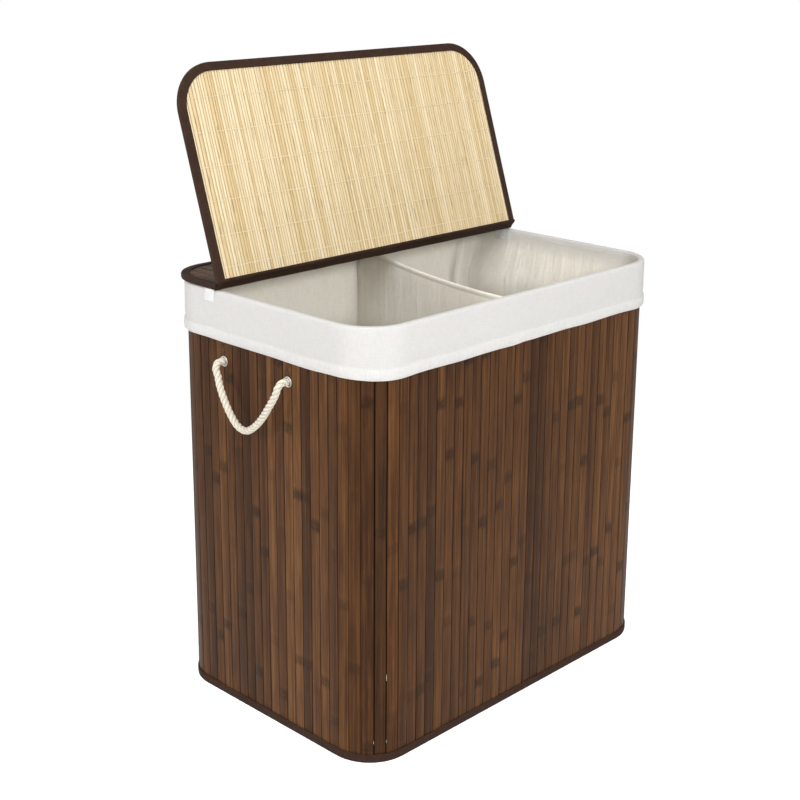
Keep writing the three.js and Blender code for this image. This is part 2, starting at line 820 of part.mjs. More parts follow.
// The lid stands open, leaning back past upright.
const lid = new THREE.Group();
lid.position.set(0, creaseY, hingeHeight);
lid.rotation.x = -THREE.MathUtils.degToRad(lidOpenAngle);
model.add(lid);
addSheetLayers(lid, 'lid', {
  left: -sheetSide,
  right: sheetSide,
  front: -(halfDepth + lidFrontOverhang + creaseY),
  back: -creaseGap,
  frontRadius: lidCornerRadius,
  backRadius: 0,
});

// Rim clips under the ends of the flap

for (const [sideName, turn] of [['left', 0], ['right', 2 * quarterTurn]]) {
  const outside = cuffOutside - cuffFlare * clipFlareRoom - clearance;
  const inside = linerInnerTop + clearance;
  const outline = new THREE.Shape([
    new THREE.Vector2(outside - clipThickness, clipTop - clipOutsideDrop),
    new THREE.Vector2(outside, clipTop - clipOutsideDrop),
    new THREE.Vector2(outside, clipTop - clipThickness),
    new THREE.Vector2(inside, clipTop - clipThickness),
    new THREE.Vector2(inside, clipTop - clipInsideDrop),
    new THREE.Vector2(inside + clipThickness, clipTop - clipInsideDrop),
    new THREE.Vector2(inside + clipThickness, clipTop),
    new THREE.Vector2(outside - clipThickness, clipTop),
  ]);
  const geometry = new THREE.ExtrudeGeometry(outline, { depth: clipWidth, bevelEnabled: false });
  geometry.rotateX(quarterTurn);
  geometry.translate(-halfWidth, clipWidth / 2, 0);
  geometry.rotateZ(turn);
  geometry.translate(0, creaseY + creaseGap + clipSetBack + clipWidth / 2, 0);
  addPiece(model, `${sideName}_rim_clip`, geometry, finish(clearPlastic, 0.2));
}

export default model;
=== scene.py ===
import json
import math
import random

import bmesh
import bpy
from mathutils import Matrix, Vector

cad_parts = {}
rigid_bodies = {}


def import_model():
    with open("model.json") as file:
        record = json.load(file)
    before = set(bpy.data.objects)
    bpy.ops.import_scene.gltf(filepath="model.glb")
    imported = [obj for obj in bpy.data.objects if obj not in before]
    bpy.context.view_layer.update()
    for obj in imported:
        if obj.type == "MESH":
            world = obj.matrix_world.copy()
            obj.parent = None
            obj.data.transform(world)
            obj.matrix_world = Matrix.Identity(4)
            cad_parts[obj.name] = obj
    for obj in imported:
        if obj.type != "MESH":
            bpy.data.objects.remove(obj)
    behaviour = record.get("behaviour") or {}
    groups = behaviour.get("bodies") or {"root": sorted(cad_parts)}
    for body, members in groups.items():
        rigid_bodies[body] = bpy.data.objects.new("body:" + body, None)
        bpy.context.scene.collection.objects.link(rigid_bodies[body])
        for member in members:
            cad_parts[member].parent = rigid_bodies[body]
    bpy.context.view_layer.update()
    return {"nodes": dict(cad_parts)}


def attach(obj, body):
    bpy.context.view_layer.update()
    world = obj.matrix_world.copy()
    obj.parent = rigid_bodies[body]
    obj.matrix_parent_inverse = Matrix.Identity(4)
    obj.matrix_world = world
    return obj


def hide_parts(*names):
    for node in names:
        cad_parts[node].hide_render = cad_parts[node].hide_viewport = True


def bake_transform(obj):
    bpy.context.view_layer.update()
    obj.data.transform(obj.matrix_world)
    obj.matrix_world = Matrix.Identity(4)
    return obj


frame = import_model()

bl_info = {
    "name": "Bamboo laundry hamper",
    "version": (1, 0, 0),
    "blender": (4, 5, 0),
    "location": "3D View > Sidebar > Hamper",
    "description": "Dresses a folding bamboo laundry hamper with two cloth bins, a lid and rope handles",
    "category": "Add Mesh",
}

# Sizes of the solids, in metres.
MM = 0.001
HALF_WIDTH = 300 * MM
HALF_DEPTH = 200 * MM
CORNER_RADIUS = 62 * MM
FLAT_X = HALF_WIDTH - CORNER_RADIUS
FLAT_Y = HALF_DEPTH - CORNER_RADIUS
QUARTER = math.pi / 2
CORNER_LENGTH = QUARTER * CORNER_RADIUS
PERIMETER = 4 * (FLAT_X + FLAT_Y + CORNER_LENGTH)

SLAT_PITCH = 17 * MM
SLAT_THICKNESS = 3 * MM
SLAT_BOTTOM = 1.5 * MM
SLAT_TOP = 596.8 * MM
STRIP_WIDTH = 17.3 * MM
STRIP_SHARE = 0.645

CREASE_Y = 90 * MM
HINGE_HEIGHT = 608.4 * MM
LID_THICKNESS = 7.2 * MM
LID_ANGLE = math.radians(108)
LID_HALF_WIDTH = 304 * MM
LID_FRONT = -298 * MM
FLAP_BACK = 120 * MM
LID_CORNER = 66 * MM
CREASE_GAP = 1.4 * MM
BINDING_CLOTH = 0.8 * MM
LAYER_GAP = 0.3 * MM
OUTER_MAT = 1.8 * MM
INNER_MAT = 1.4 * MM

HANDLE_HEIGHT = 504 * MM
HOLE_YS = {"back": 81 * MM, "front": -49 * MM}
ROPE_RADIUS = 5 * MM
BODY = "hamper_body"

# The camera stands as the photograph's did.
CAMERA_PLACE = (-1.49621, -1.4248, 1.07952)
CAMERA_YAW = 0.7948
CAMERA_PITCH = 0.2643
CAMERA_ROLL = 0.0065
CAMERA_LENS = 66.416
CAMERA_SHIFT_Y = -0.1

FINISH = {}


# Selecting and shaping


def deselect_all():
    """Leaves nothing selected."""
    if bpy.context.mode != "OBJECT":
        bpy.ops.object.mode_set(mode="OBJECT")
    for thing in bpy.context.view_layer.objects:
        thing.select_set(False)


def only(obj):
    """Makes one object the selected and the active one."""
    deselect_all()
    obj.select_set(True)
    bpy.context.view_layer.objects.active = obj
    return obj


def pick(obj, kind, test):
    """Selects the verts, edges or faces of a mesh in edit mode that pass a test on their middle."""
    bpy.ops.mesh.select_mode(type={"verts": "VERT", "edges": "EDGE", "faces": "FACE"}[kind])
    bpy.ops.mesh.select_all(action="DESELECT")
    shape = bmesh.from_edit_mesh(obj.data)
    found = 0
    for part in getattr(shape, kind):
        corners = [part] if kind == "verts" else list(part.verts)
        if test([vert.co for vert in corners]):
            part.select_set(True)
            found += 1
    if found == 0:
        raise RuntimeError(f"nothing to select on {obj.name}")
    shape.select_flush_mode()
    bmesh.update_edit_mesh(obj.data)


def box_piece(name, low, high):
    """A box between two corners, with its place in its mesh, left in edit mode."""
    deselect_all()
    middle = [(a + b) / 2 for a, b in zip(low, high)]
    bpy.ops.mesh.primitive_cube_add(size=1, location=middle)
    obj = bpy.context.object
    obj.name = name
    obj.scale = [b - a for a, b in zip(low, high)]
    bpy.ops.object.transform_apply(location=True, rotation=True, scale=True)
    bpy.ops.object.mode_set(mode="EDIT")
    return obj


def close_edit():
    """Back to object mode."""
    bpy.ops.object.mode_set(mode="OBJECT")


def apply_modifier(obj, kind, **settings):
    """Adds one modifier and applies it."""
    only(obj)
    modifier = obj.modifiers.new(kind.title(), kind)
    for key, value in settings.items():
        setattr(modifier, key, value)
    bpy.ops.object.modifier_apply(modifier=modifier.name)
    return obj


def smooth(obj, degrees=40):
    """Shades the flat bends smooth and keeps the sharp edges."""
    only(obj)
    bpy.ops.object.shade_smooth_by_angle(angle=math.radians(degrees))
    return obj


def outwards(obj):
    """Merges doubles and turns all faces outwards."""
    only(obj)
    bpy.ops.object.mode_set(mode="EDIT")
    bpy.ops.mesh.select_all(action="SELECT")
    bpy.ops.mesh.remove_doubles(threshold=0.00001)
    bpy.ops.mesh.normals_make_consistent(inside=False)
    close_edit()
    return obj


def thickened(obj, thickness, degrees):
    """Gives a surface its thickness, half to each side, and finishes it."""
    apply_modifier(obj, "SOLIDIFY", thickness=thickness, offset=0)
    outwards(obj)
    return smooth(obj, degrees)


def copied(template, name):
    """A copy with its own mesh."""
    twin = template.copy()
    twin.data = template.data.copy()
    twin.name = name
    bpy.context.collection.objects.link(twin)
    return twin


def joined(parts, name):
    """Joins objects into one named piece."""
    only(parts[0])
    for part in parts[1:]:
        part.select_set(True)
    if len(parts) > 1:
        bpy.ops.object.join()
    obj = bpy.context.view_layer.objects.active
    obj.name = name
    obj.data.name = name
    return obj


def removed(obj):
    """Takes a template away once it has been copied."""
    bpy.data.objects.remove(obj, do_unlink=True)


def tag(obj, name, value):
    """One number for the whole of a mesh, kept on its points."""
    layer = obj.data.attributes.get(name) or obj.data.attributes.new(name, "FLOAT", "POINT")
    layer.data.foreach_set("value", [value] * len(obj.data.vertices))


def tag_points(obj, name, values):
    """One number for each point of a mesh, kept on its points."""
    layer = obj.data.attributes.new(name, "FLOAT", "POINT")
    layer.data.foreach_set("value", values)


def unwrap(obj, measure):
    """Gives each corner of each face the UV that measure works out from its point."""
    layer = obj.data.uv_layers.get("UVMap") or obj.data.uv_layers.new(name="UVMap")
    for face in obj.data.polygons:
        for loop in face.loop_indices:
            point = obj.data.vertices[obj.data.loops[loop].vertex_index].co
            layer.data[loop].uv = measure(point)
    return obj


def loft(name, rows, across, along, ring=False, tube=False, caps=False):
    """One surface through rows of points, across and along being its UV.

    A ring closes each row, a tube joins the last row to the first, and caps close both ends.
    """
    width = len(rows[0])
    points = [point for row in rows for point in row]
    faces = []
    corners = []
    for i in range(len(rows) if tube else len(rows) - 1):
        below = (i + 1) % len(rows)
        for j in range(width if ring else width - 1):
            beside = (j + 1) % width
            faces.append((i * width + j, i * width + beside, below * width + beside, below * width + j))
            corners.extend((across[u], along[v]) for u, v in ((j, i), (j + 1, i), (j + 1, i + 1), (j, i + 1)))
    if caps:
        last = (len(rows) - 1) * width
        faces.append(tuple(reversed(range(width))))
        faces.append(tuple(last + j for j in range(width)))
        corners.extend([(across[j], along[0]) for j in range(width)] * 2)
    mesh = bpy.data.meshes.new(name)
    mesh.from_pydata(points, [], faces)
    layer = mesh.uv_layers.new(name="UVMap")
    for uv, corner in zip(layer.data, corners):
        uv.uv = corner
    mesh.update()
    obj = bpy.data.objects.new(name, mesh)
    bpy.context.collection.objects.link(obj)
    return obj


def steps_along(points, closed=False):
    """Distances along a row of points, with one more for the way back to the first where it closes."""
    reach = [0.0]
    for a, b in zip(points, points[1:]):
        reach.append(reach[-1] + (Vector(b) - Vector(a)).length)
    if closed:
        reach.append(reach[-1] + (Vector(points[0]) - Vector(points[-1])).length)
    return reach


def scaled(colour, factor):
    """A colour made darker or lighter."""
    return tuple(factor * channel for channel in colour)


def dress(obj, finish, body=BODY, stands_for=()):
    """Gives a piece its finish and its body, and hides the solids that it stands for."""
    obj.data.materials.clear()
    obj.data.materials.append(FINISH[finish])
    if body:
        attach(obj, body)
    if stands_for:
        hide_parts(*stands_for)
    return obj


# The wall's outline, anticlockwise from the front's left end


def outline_point(distance, inset=0.0):
    """The point at a distance along the outline, and the outward direction there."""
    rest = distance % PERIMETER
    radius = CORNER_RADIUS - inset
    sides = (
        (2 * FLAT_X, (FLAT_X, -FLAT_Y)),
        (2 * FLAT_Y, (FLAT_X, FLAT_Y)),
        (2 * FLAT_X, (-FLAT_X, FLAT_Y)),
        (2 * FLAT_Y, (-FLAT_X, -FLAT_Y)),
    )
    for index, (flat, corner) in enumerate(sides):
        normal = (index - 1) * QUARTER
        if rest <= flat:
            along = index * QUARTER
            back = flat - rest
            x = corner[0] - back * math.cos(along) + radius * math.cos(normal)
            y = corner[1] - back * math.sin(along) + radius * math.sin(normal)
            return Vector((x, y, 0)), Vector((math.cos(normal), math.sin(normal), 0))
        rest -= flat
        if rest <= CORNER_LENGTH:
            angle = normal + rest / CORNER_RADIUS
            outward = Vector((math.cos(angle), math.sin(angle), 0))
            return Vector((corner[0], corner[1], 0)) + radius * outward, outward
        rest -= CORNER_LENGTH
    return outline_point(0.0, inset)


def outline_stations(step):
    """Even distances along the outline, one set for each flat side and each corner."""
    stations = []
    start = 0.0
    for length in (2 * FLAT_X, CORNER_LENGTH, 2 * FLAT_Y, CORNER_LENGTH) * 2:
        count = max(6, round(length / step))
        stations.extend(start + length * k / count for k in range(count))
        start += length
    return stations


def outward_normals(points):
    """The wall's outward direction at each point of a line that runs round it."""
    normals = []
    for point in points:
        x = point.x - max(-FLAT_X, min(FLAT_X, point.x))
        y = point.y - max(-FLAT_Y, min(FLAT_Y, point.y))
        normals.append(Vector((x, y, 0)).normalized())
    return normals


# Finishes


def add_node(tree, kind, inputs=(), **settings):
    """A node whose inputs are linked where they are given a socket, and set where they aren't."""
    made = tree.nodes.new("ShaderNode" + kind)
    for key, value in settings.items():
        setattr(made, key, value)
    for key, value in dict(inputs).items():
        if isinstance(value, bpy.types.NodeSocket):
            tree.links.new(value, made.inputs[key])
        else:
            made.inputs[key].default_value = value
    return made


class Finish:
    """One procedural material, built node by node."""

    def __init__(self, name, roughness, **sockets):
        self.material = bpy.data.materials.new(name)
        self.material.use_nodes = True
        self.tree = self.material.node_tree
        self.shader = self.tree.nodes["Principled BSDF"]
        self.shader.inputs["Roughness"].default_value = roughness
        for socket, value in sockets.items():
            self.shader.inputs[socket.replace("_", " ")].default_value = value
        FINISH[name] = self.material

    def add(self, kind, inputs=(), **settings):
        """A node of this finish."""
        return add_node(self.tree, kind, inputs, **settings)

    def sum(self, operation, a, b=0.0):
        """One step of arithmetic on one or two numbers."""
        return self.add("Math", {0: a, 1: b}, operation=operation).outputs[0]

    def plus(self, a, b):
        """Two numbers added."""
        return self.sum("ADD", a, b)

    def times(self, a, b):
        """Two numbers multiplied."""
        return self.sum("MULTIPLY", a, b)

    def mix(self, share, a, b, blend="MIX"):
        """One colour or another, by share."""
        colours = [(*c, 1) if isinstance(c, tuple) else c for c in (a, b)]
        inputs = {0: share, 6: colours[0], 7: colours[1]}
        return self.add("Mix", inputs, data_type="RGBA", blend_type=blend).outputs[2]

    def spread(self, value, low, high, to_low=0.0, to_high=1.0, soft=True):
        """Takes one range of values to another."""
        inputs = {0: value, 1: low, 2: high, 3: to_low, 4: to_high}
        kind = "SMOOTHSTEP" if soft else "LINEAR"
        return self.add("MapRange", inputs, interpolation_type=kind).outputs[0]

    def noise(self, where, scale, detail=2.0, roughness=0.5):
        """Soft irregularity; scale is a number a metre, or one for each direction."""
        stretch = scale if isinstance(scale, tuple) else (scale, scale, scale)
        moved = self.add("Mapping", {"Vector": where, "Scale": stretch}).outputs[0]
        inputs = {"Vector": moved, "Scale": 1.0, "Detail": detail, "Roughness": roughness}
        return self.add("TexNoise", inputs).outputs[0]

    def own(self, name):
        """A number kept on the piece's mesh."""
        return self.add("Attribute", attribute_name=name).outputs["Fac"]

    def uv(self):
        """The piece's own UV map, in metres."""
        return self.add("UVMap", uv_map="UVMap").outputs[0]

    def place(self):
        """The point on the piece, in metres."""
        return self.add("TexCoord").outputs["Object"]

    def parts(self, vector):
        """The three numbers of a vector."""
        return self.add("SeparateXYZ", {0: vector}).outputs

    def colour(self, socket):
        """Gives the surface its colour."""
        self.tree.links.new(socket, self.shader.inputs["Base Color"])

    def rough(self, socket):
        """Gives the surface its roughness."""
        self.tree.links.new(socket, self.shader.inputs["Roughness"])

    def relief(self, height, depth):
        """Fine relief, depth in metres."""
        made = self.add("Bump", {"Height": height, "Distance": depth, "Strength": 1.0})
        self.tree.links.new(made.outputs[0], self.shader.inputs["Normal"])


def bamboo_slats(name, deep, warm, pale, marks=1.0):
    """Dark-stained bamboo: each slat its own tone, fine fibres, smudged node marks, and edges darkened as
    painted shade beside the gaps between slats.
    """
    f = Finish(name, 0.5, Specular_IOR_Level=0.09)
    tone = f.own("tone")
    seed = f.own("seed")
    across, along, _ = f.parts(f.uv())
    height = f.plus(along, f.times(seed, 7.3))
    where = f.add("CombineXYZ", {0: across, 1: height, 2: seed}).outputs[0]
    broad = f.noise(where, (330.0, 3.2, 90.0), 2.0, 0.55)
    streak = f.noise(where, (780.0, 5.0, 90.0), 3.0, 0.66)
    fibre = f.noise(where, (2300.0, 22.0, 90.0), 2.0, 0.6)
    cloud = f.noise(where, (90.0, 11.0, 90.0), 3.0, 0.6)
    # How light the stain is: the slat's own tone, with broad and fine streaks along it.
    level = f.plus(f.times(tone, 0.86), f.spread(broad, 0.28, 0.72, -0.32, 0.32, soft=False))
    for part, low, high in ((streak, -0.26, 0.36), (fibre, -0.14, 0.14), (cloud, 0.16, -0.3)):
        level = f.plus(level, f.spread(part, 0.3, 0.7, low, high, soft=False))
    base = f.mix(f.spread(level, -0.05, 0.8, soft=False), deep, warm)
    base = f.mix(f.spread(level, 0.66, 1.2, 0.0, 0.85), base, pale)
    # A node crosses each slat at this spacing, at a height of its own.
    spacing = 0.24
    tilt = f.noise(where, (75.0, 16.0, 90.0), 2.0)
    turn = f.plus(f.sum("DIVIDE", height, spacing), f.times(tilt, 0.03))
    turn = f.sum("SUBTRACT", f.sum("FRACT", turn), 0.5)
    gap = f.times(turn, spacing)
    patchy = f.spread(f.noise(where, (300.0, 110.0, 90.0), 3.0, 0.7), 0.36, 0.54, 0.35, 1.0)
    strength = f.spread(f.noise(where, (1.0, 2.0, 400.0), 0.0), 0.38, 0.54, 0.25, 1.0)
    smudge = f.spread(f.sum("ABSOLUTE", gap), 0.0035, 0.0115, 1.0, 0.0)
    smudge = f.times(f.times(smudge, patchy), strength)
    line = f.spread(f.sum("ABSOLUTE", f.plus(gap, 0.004)), 0.0, 0.0016, 1.0, 0.0)
    line = f.times(line, strength)
    ring = f.spread(f.sum("ABSOLUTE", f.sum("SUBTRACT", gap, 0.0125)), 0.0, 0.006, 1.0, 0.0)
    soot = (0.48 * deep[0], 0.72 * deep[1], 0.85 * deep[2])
    ring = f.times(ring, f.spread(patchy, 0.0, 1.0, 1.0, 0.2))
    base = f.mix(f.times(ring, 0.14 * marks), base, pale)
    base = f.mix(f.times(smudge, 0.8 * marks), base, soot)
    base = f.mix(f.times(line, 0.5 * marks), base, soot)
    # Painted shade: the slat's side edges are darkened where the gaps between slats lie.
    base = f.mix(f.times(f.own("edge"), 0.85), base, (0.4 * deep[0], 0.3 * deep[1], 0.2 * deep[2]))
    f.colour(base)
    f.rough(f.spread(streak, 0.3, 0.7, 0.45, 0.6))
    rise = f.plus(f.times(fibre, 0.4), f.times(streak, 0.6))
    f.relief(f.plus(rise, f.times(ring, 0.5)), 0.00022)


def natural_sticks(name, pale, straw, dark):
    """Fine natural bamboo sticks, each its own tone, with long fibres, and edges darkened as painted shade
    between the sticks.
    """
    f = Finish(name, 0.48, Specular_IOR_Level=0.3)
    tone = f.own("tone")
    seed = f.own("seed")
    across, along, _ = f.parts(f.uv())
    where = f.add("CombineXYZ", {0: across, 1: f.plus(along, seed), 2: seed}).outputs[0]
    streak = f.noise(where, (900.0, 7.0, 90.0), 3.0, 0.6)
    fibre = f.noise(where, (4200.0, 40.0, 90.0), 2.0)
    spot = f.noise(where, (300.0, 42.0, 90.0), 3.0, 0.7)
    level = f.plus(f.times(tone, 0.85), f.spread(streak, 0.3, 0.7, -0.22, 0.3, soft=False))
    base = f.mix(f.spread(level, 0.0, 1.0), straw, pale)
    base = f.mix(f.spread(fibre, 0.3, 0.6, 0.22, 0.0), base, straw)
    base = f.mix(f.spread(spot, 0.62, 0.74, 0.0, 0.4), base, dark)
    crack = f.spread(f.noise(where, (700.0, 26.0, 300.0), 1.0), 0.66, 0.72, 0.0, 0.6)
    base = f.mix(crack, base, scaled(dark, 0.6))
    # Painted shade: each stick darker towards its side edges, between the sticks.
    base = f.mix(f.times(f.own("edge"), 0.6), base, dark)
    f.colour(base)
    f.rough(f.spread(streak, 0.3, 0.7, 0.42, 0.6))
    f.relief(f.plus(fibre, streak), 0.00012)


def woven_cloth(name, light, dark, pitch, slub, roughness, sheen=0.0, tint=None, mapped=True, inner=None):
    """Plain woven cloth: crossing threads at pitch, with thicker slubs along both directions.

    With an inner colour the cloth is lighter on its hem, brighter and warmer inside the bins as painted
    light, darker beside its seams as painted shade, and softly wrinkled there.
    """
    f = Finish(name, roughness, Sheen_Weight=sheen, Sheen_Roughness=0.5, Specular_IOR_Level=0.12)
    if mapped:
        where = f.uv()
        u, v, _ = f.parts(where)
    else:
        where = f.place()
        x, y, v = f.parts(where)
        u = f.plus(x, y)
        where = f.add("CombineXYZ", {0: u, 1: v, 2: y}).outputs[0]
    turns = 2 * math.pi / pitch
    weft = f.sum("SINE", f.times(u, turns))
    warp = f.sum("SINE", f.times(v, turns))
    cross = f.times(weft, warp)
    long_threads = f.noise(where, (0.9 / pitch, 70.0, 1.0), 2.0, 0.6)
    wide_threads = f.noise(where, (70.0, 0.9 / pitch, 1.0), 2.0, 0.6)
    cloud = f.noise(where, 14.0, 3.0)
    threads = f.times(f.plus(long_threads, wide_threads), 0.5)
    wrinkles = None
    if inner:
        # Painted light: inside the bins the cloth gets the inner colour, brighter and warmer than the cuff
        # outside.
        inside = f.own("inside")
        hem = scaled(light, 1.075)
        light = f.mix(inside, f.mix(f.own("hem"), light, hem), inner)
        dark = f.mix(inside, dark, scaled(inner, 0.8))
        tint = f.mix(inside, tint, scaled(inner, 0.9))
        flat = f.noise(where, (24.0, 20.0, 1.0), 3.0, 0.55)
        hanging = f.noise(where, (46.0, 5.0, 1.0), 3.0, 0.6)
        hanging = f.times(f.times(hanging, inside), 11.0)
        wrinkles = f.plus(f.times(flat, 2.6), hanging)
        upright_slubs = f.noise(where, (330.0, 60.0, 1.0), 2.0, 0.6)
        level_slubs = f.noise(where, (60.0, 330.0, 1.0), 2.0, 0.6)
        slubs = f.sum("MAXIMUM", upright_slubs, level_slubs)
        # Painted shade beside the sewn corners and the divider's ends, added to the slubs.
        slub_and_painted_shade = f.plus(f.spread(slubs, 0.55, 0.75, 0.0, 0.45), f.times(f.own("seam"), 0.9))
        light = f.mix(slub_and_painted_shade, light, f.mix(f.own("seam"), dark, scaled(inner, 0.45)))
    base = f.mix(f.spread(threads, 0.38, 0.64, slub, 0.0), light, dark)
    base = f.mix(f.spread(cross, -1.0, 1.0, 0.5 * slub, 0.0), base, dark)
    base = f.mix(f.spread(cloud, 0.35, 0.7, 0.0, 0.5 * slub), base, tint or dark)
    f.colour(base)
    height = f.plus(f.times(cross, 0.25), f.times(threads, 1.2))
    if wrinkles:
        height = f.plus(height, wrinkles)
    f.relief(height, 0.35 * pitch)


def twisted_rope(name, light, shade):
    """Soft cotton rope: fibres that run with the strands, and painted shade that darkens the grooves between
    them.
    """
    f = Finish(name, 0.95, Sheen_Weight=0.35, Sheen_Roughness=0.5)
    across, along, _ = f.parts(f.uv())
    lean = f.plus(across, f.times(along, 0.55))
    where = f.add("CombineXYZ", {0: lean, 1: along, 2: 0.0}).outputs[0]
    yarn = f.sum("SINE", f.times(lean, 2 * math.pi / 0.0011))
    fuzz = f.noise(where, (1500.0, 260.0, 1.0), 3.0, 0.65)
    groove = f.own("groove")
    base = f.mix(f.spread(fuzz, 0.3, 0.7, 0.35, 0.0), light, shade)
    base = f.mix(f.spread(yarn, -1.0, 0.2, 0.3, 0.0), base, shade)
    # Painted shade in the grooves between the strands.
    base = f.mix(f.spread(groove, 0.25, 1.0, 0.0, 0.6), base, scaled(shade, 0.6))
    f.colour(base)
    f.relief(f.plus(f.times(yarn, 0.4), fuzz), 0.00035)


def metal(name, colour, roughness, scuff):
    """Plated steel with fine uneven scuffs."""
    f = Finish(name, roughness, Metallic=1.0)
    where = f.place()
    wear = f.noise(where, 420.0, 4.0, 0.65)
    fine = f.noise(where, 2600.0, 2.0)
    f.colour(f.mix(f.spread(wear, 0.35, 0.75, 0.0, scuff), colour, scaled(colour, 0.55)))
    f.rough(f.spread(wear, 0.3, 0.75, roughness, roughness + 0.22))
    f.relief(fine, 0.00003)


def fibre_board(name, light, dark):
    """Pressed board with short fibres and a soft mottle."""
    f = Finish(name, 0.85)
    where = f.place()
    fibre = f.noise(where, (900.0, 160.0, 900.0), 3.0, 0.65)
    mottle = f.noise(where, 22.0, 3.0)
    base = f.mix(f.spread(fibre, 0.35, 0.65), dark, light)
    f.colour(f.mix(f.spread(mottle, 0.35, 0.7, 0.0, 0.35), base, dark))
    f.relief(fibre, 0.0002)


def clear_plastic(name, colour):
    """Clear moulded plastic with faint flow marks."""
    f = Finish(name, 0.2, Transmission_Weight=0.6, IOR=1.3)
    where = f.place()
    flow = f.noise(where, (90.0, 90.0, 30.0), 2.0)
    f.colour(f.mix(f.spread(flow, 0.3, 0.7), colour, scaled(colour, 0.95)))
    f.rough(f.spread(flow, 0.3, 0.7, 0.08, 0.18))
    f.relief(flow, 0.0001)


def make_finishes(colours):
    """Every finish of the hamper, from the colours that a user picks."""
    deep = tuple(colours.walnut_deep)
    warm = tuple(colours.walnut_warm)
    pale = tuple(colours.stick_pale)
    straw = tuple(colours.stick_straw)
    brown = tuple(colours.edging)
    linen = tuple(colours.liner)
    board = tuple(colours.board)
    # Painted light: the liner's colour inside the bins, the same cloth made brighter and warmer than the
    # cuff.
    inside_painted_light = (1.47 * linen[0], 1.44 * linen[1], 1.33 * linen[2])
    bamboo_slats("Walnut bamboo", deep, warm, tuple(colours.walnut_pale))
    bamboo_slats("Closing strip", scaled(deep, 0.62), scaled(warm, 0.5), deep, 0.6)
    natural_sticks("Natural sticks", pale, straw, scaled(straw, 0.55))
    woven_cloth("Brown edging", brown, scaled(brown, 0.4), 1.1 * MM, 0.8, 0.8)
    woven_cloth("Brown backing", scaled(brown, 0.5), scaled(brown, 0.2), 1.4 * MM, 0.7, 0.95, mapped=False)
    woven_cloth("Liner cloth", linen, scaled(linen, 0.82), 1.0 * MM, 0.5, 0.92, tint=scaled(linen, 0.94),
                inner=inside_painted_light)
    woven_cloth("Pale thread", linen, scaled(linen, 0.75), 0.5 * MM, 0.5, 0.9, 0.1, mapped=False)
    woven_cloth("Dark thread", brown, scaled(brown, 0.6), 0.5 * MM, 0.5, 0.9, mapped=False)
    woven_cloth("Straw thread", pale, scaled(pale, 0.8), 0.5 * MM, 0.5, 0.9, mapped=False)
    twisted_rope("Cotton rope", tuple(colours.rope), scaled(colours.rope, 0.62))
    metal("Bright steel", (0.5, 0.485, 0.46), 0.34, 0.3)
    metal("Dull steel", (0.42, 0.42, 0.41), 0.42, 0.4)
    fibre_board("Fibre board", board, scaled(board, 0.6))
    clear_plastic("Clear plastic", (0.99, 0.99, 0.99))


# What a user may change


def colour_choice(name, description, default):
    """A colour with its default."""
    return bpy.props.FloatVectorProperty(
        name=name,
        description=description,
        default=default,
        size=3,
        min=0.0,
        max=1.0,
        subtype="COLOR",
    )


def length_choice(name, description, default, low, high):
    """A length in metres with its default."""
    return bpy.props.FloatProperty(
        name=name,
        description=description,
        default=default,
        min=low,
        max=high,
        precision=4,
        subtype="DISTANCE",
        unit="LENGTH",
    )


class HamperSizes(bpy.types.PropertyGroup):
    """Sizes that change the hamper's look and not its solids."""

    slat_gap: length_choice("Slat gap", "Width of the groove between two slats", 0.75 * MM, 0.3 * MM, 2 * MM)
    stick_pitch: length_choice("Stick pitch", "Distance between two sticks of the lid's lining", 5.1 * MM,
                               2 * MM, 6 * MM)
    ripple: length_choice("Cloth ripple", "How far the cloth waves in and out", 0.5 * MM, 0.0, 1.5 * MM)
    fold_depth: length_choice("Fold depth", "How far the loose folds stand in from the wall", 9 * MM,
                              0.0, 16 * MM)
    twist: length_choice("Rope twist", "Length of one full turn of the rope's strands", 22 * MM,
                         15 * MM, 60 * MM)


class HamperColours(bpy.types.PropertyGroup):
    """Colours of the hamper's materials."""

    walnut_deep: colour_choice("Dark slats", "Darkest stain on the slats", (0.047, 0.0195, 0.0076))
    walnut_warm: colour_choice("Warm slats", "Warmest stain on the slats", (0.205, 0.086, 0.0272))
    walnut_pale: colour_choice("Worn slats", "Where the stain is thin", (0.35, 0.168, 0.064))
    stick_pale: colour_choice("Pale sticks", "Palest natural bamboo", (0.685, 0.585, 0.405))
    stick_straw: colour_choice("Straw sticks", "Warmest natural bamboo", (0.505, 0.37, 0.185))
    edging: colour_choice("Edging", "Brown cloth on the edges", (0.050, 0.0255, 0.0160))
    liner: colour_choice("Liner", "Cloth of the two bins", (0.55, 0.539, 0.524))
    rope: colour_choice("Rope", "Cotton of the handles", (0.76, 0.70, 0.575))
    board: colour_choice("Board", "Pressed board of the base", (0.20, 0.165, 0.13))
    floor: colour_choice("Floor", "Studio floor", (0.93, 0.93, 0.93))


# Stage

WHITE = (1, 1, 1, 1)
WORLD_COLOUR = (1.0, 0.995, 0.985, 1)
WORLD_LIGHT = 0.54
FLOOR_SIZE = 60
# Share of the light by which the camera sees the floor brighter than it is.
FLOOR_GLOW = 0.45
# Distances from the middle at which the floor starts to turn white, and is white.
SHADOW_REACH = 0.7
WHITE_FROM = 1.3
# Name, place, the point it faces, power in watts, width and height.
LIGHTS = (
    ("Side", (-2.3, 1.5, 1.15), (-0.3, 0, 0.45), 25, 0.25, 0.25),
    ("Left", (-2.9, -0.7, 1.7), (0, 0, 0.5), 23, 0.8, 0.6),
    ("Top", (-0.6, -0.6, 3.1), (0, 0, 0.4), 36, 1.4, 1.4),
    ("Front", (-0.9, -2.9, 1.7), (0, 0, 0.5), 72, 1.5, 0.7),
)


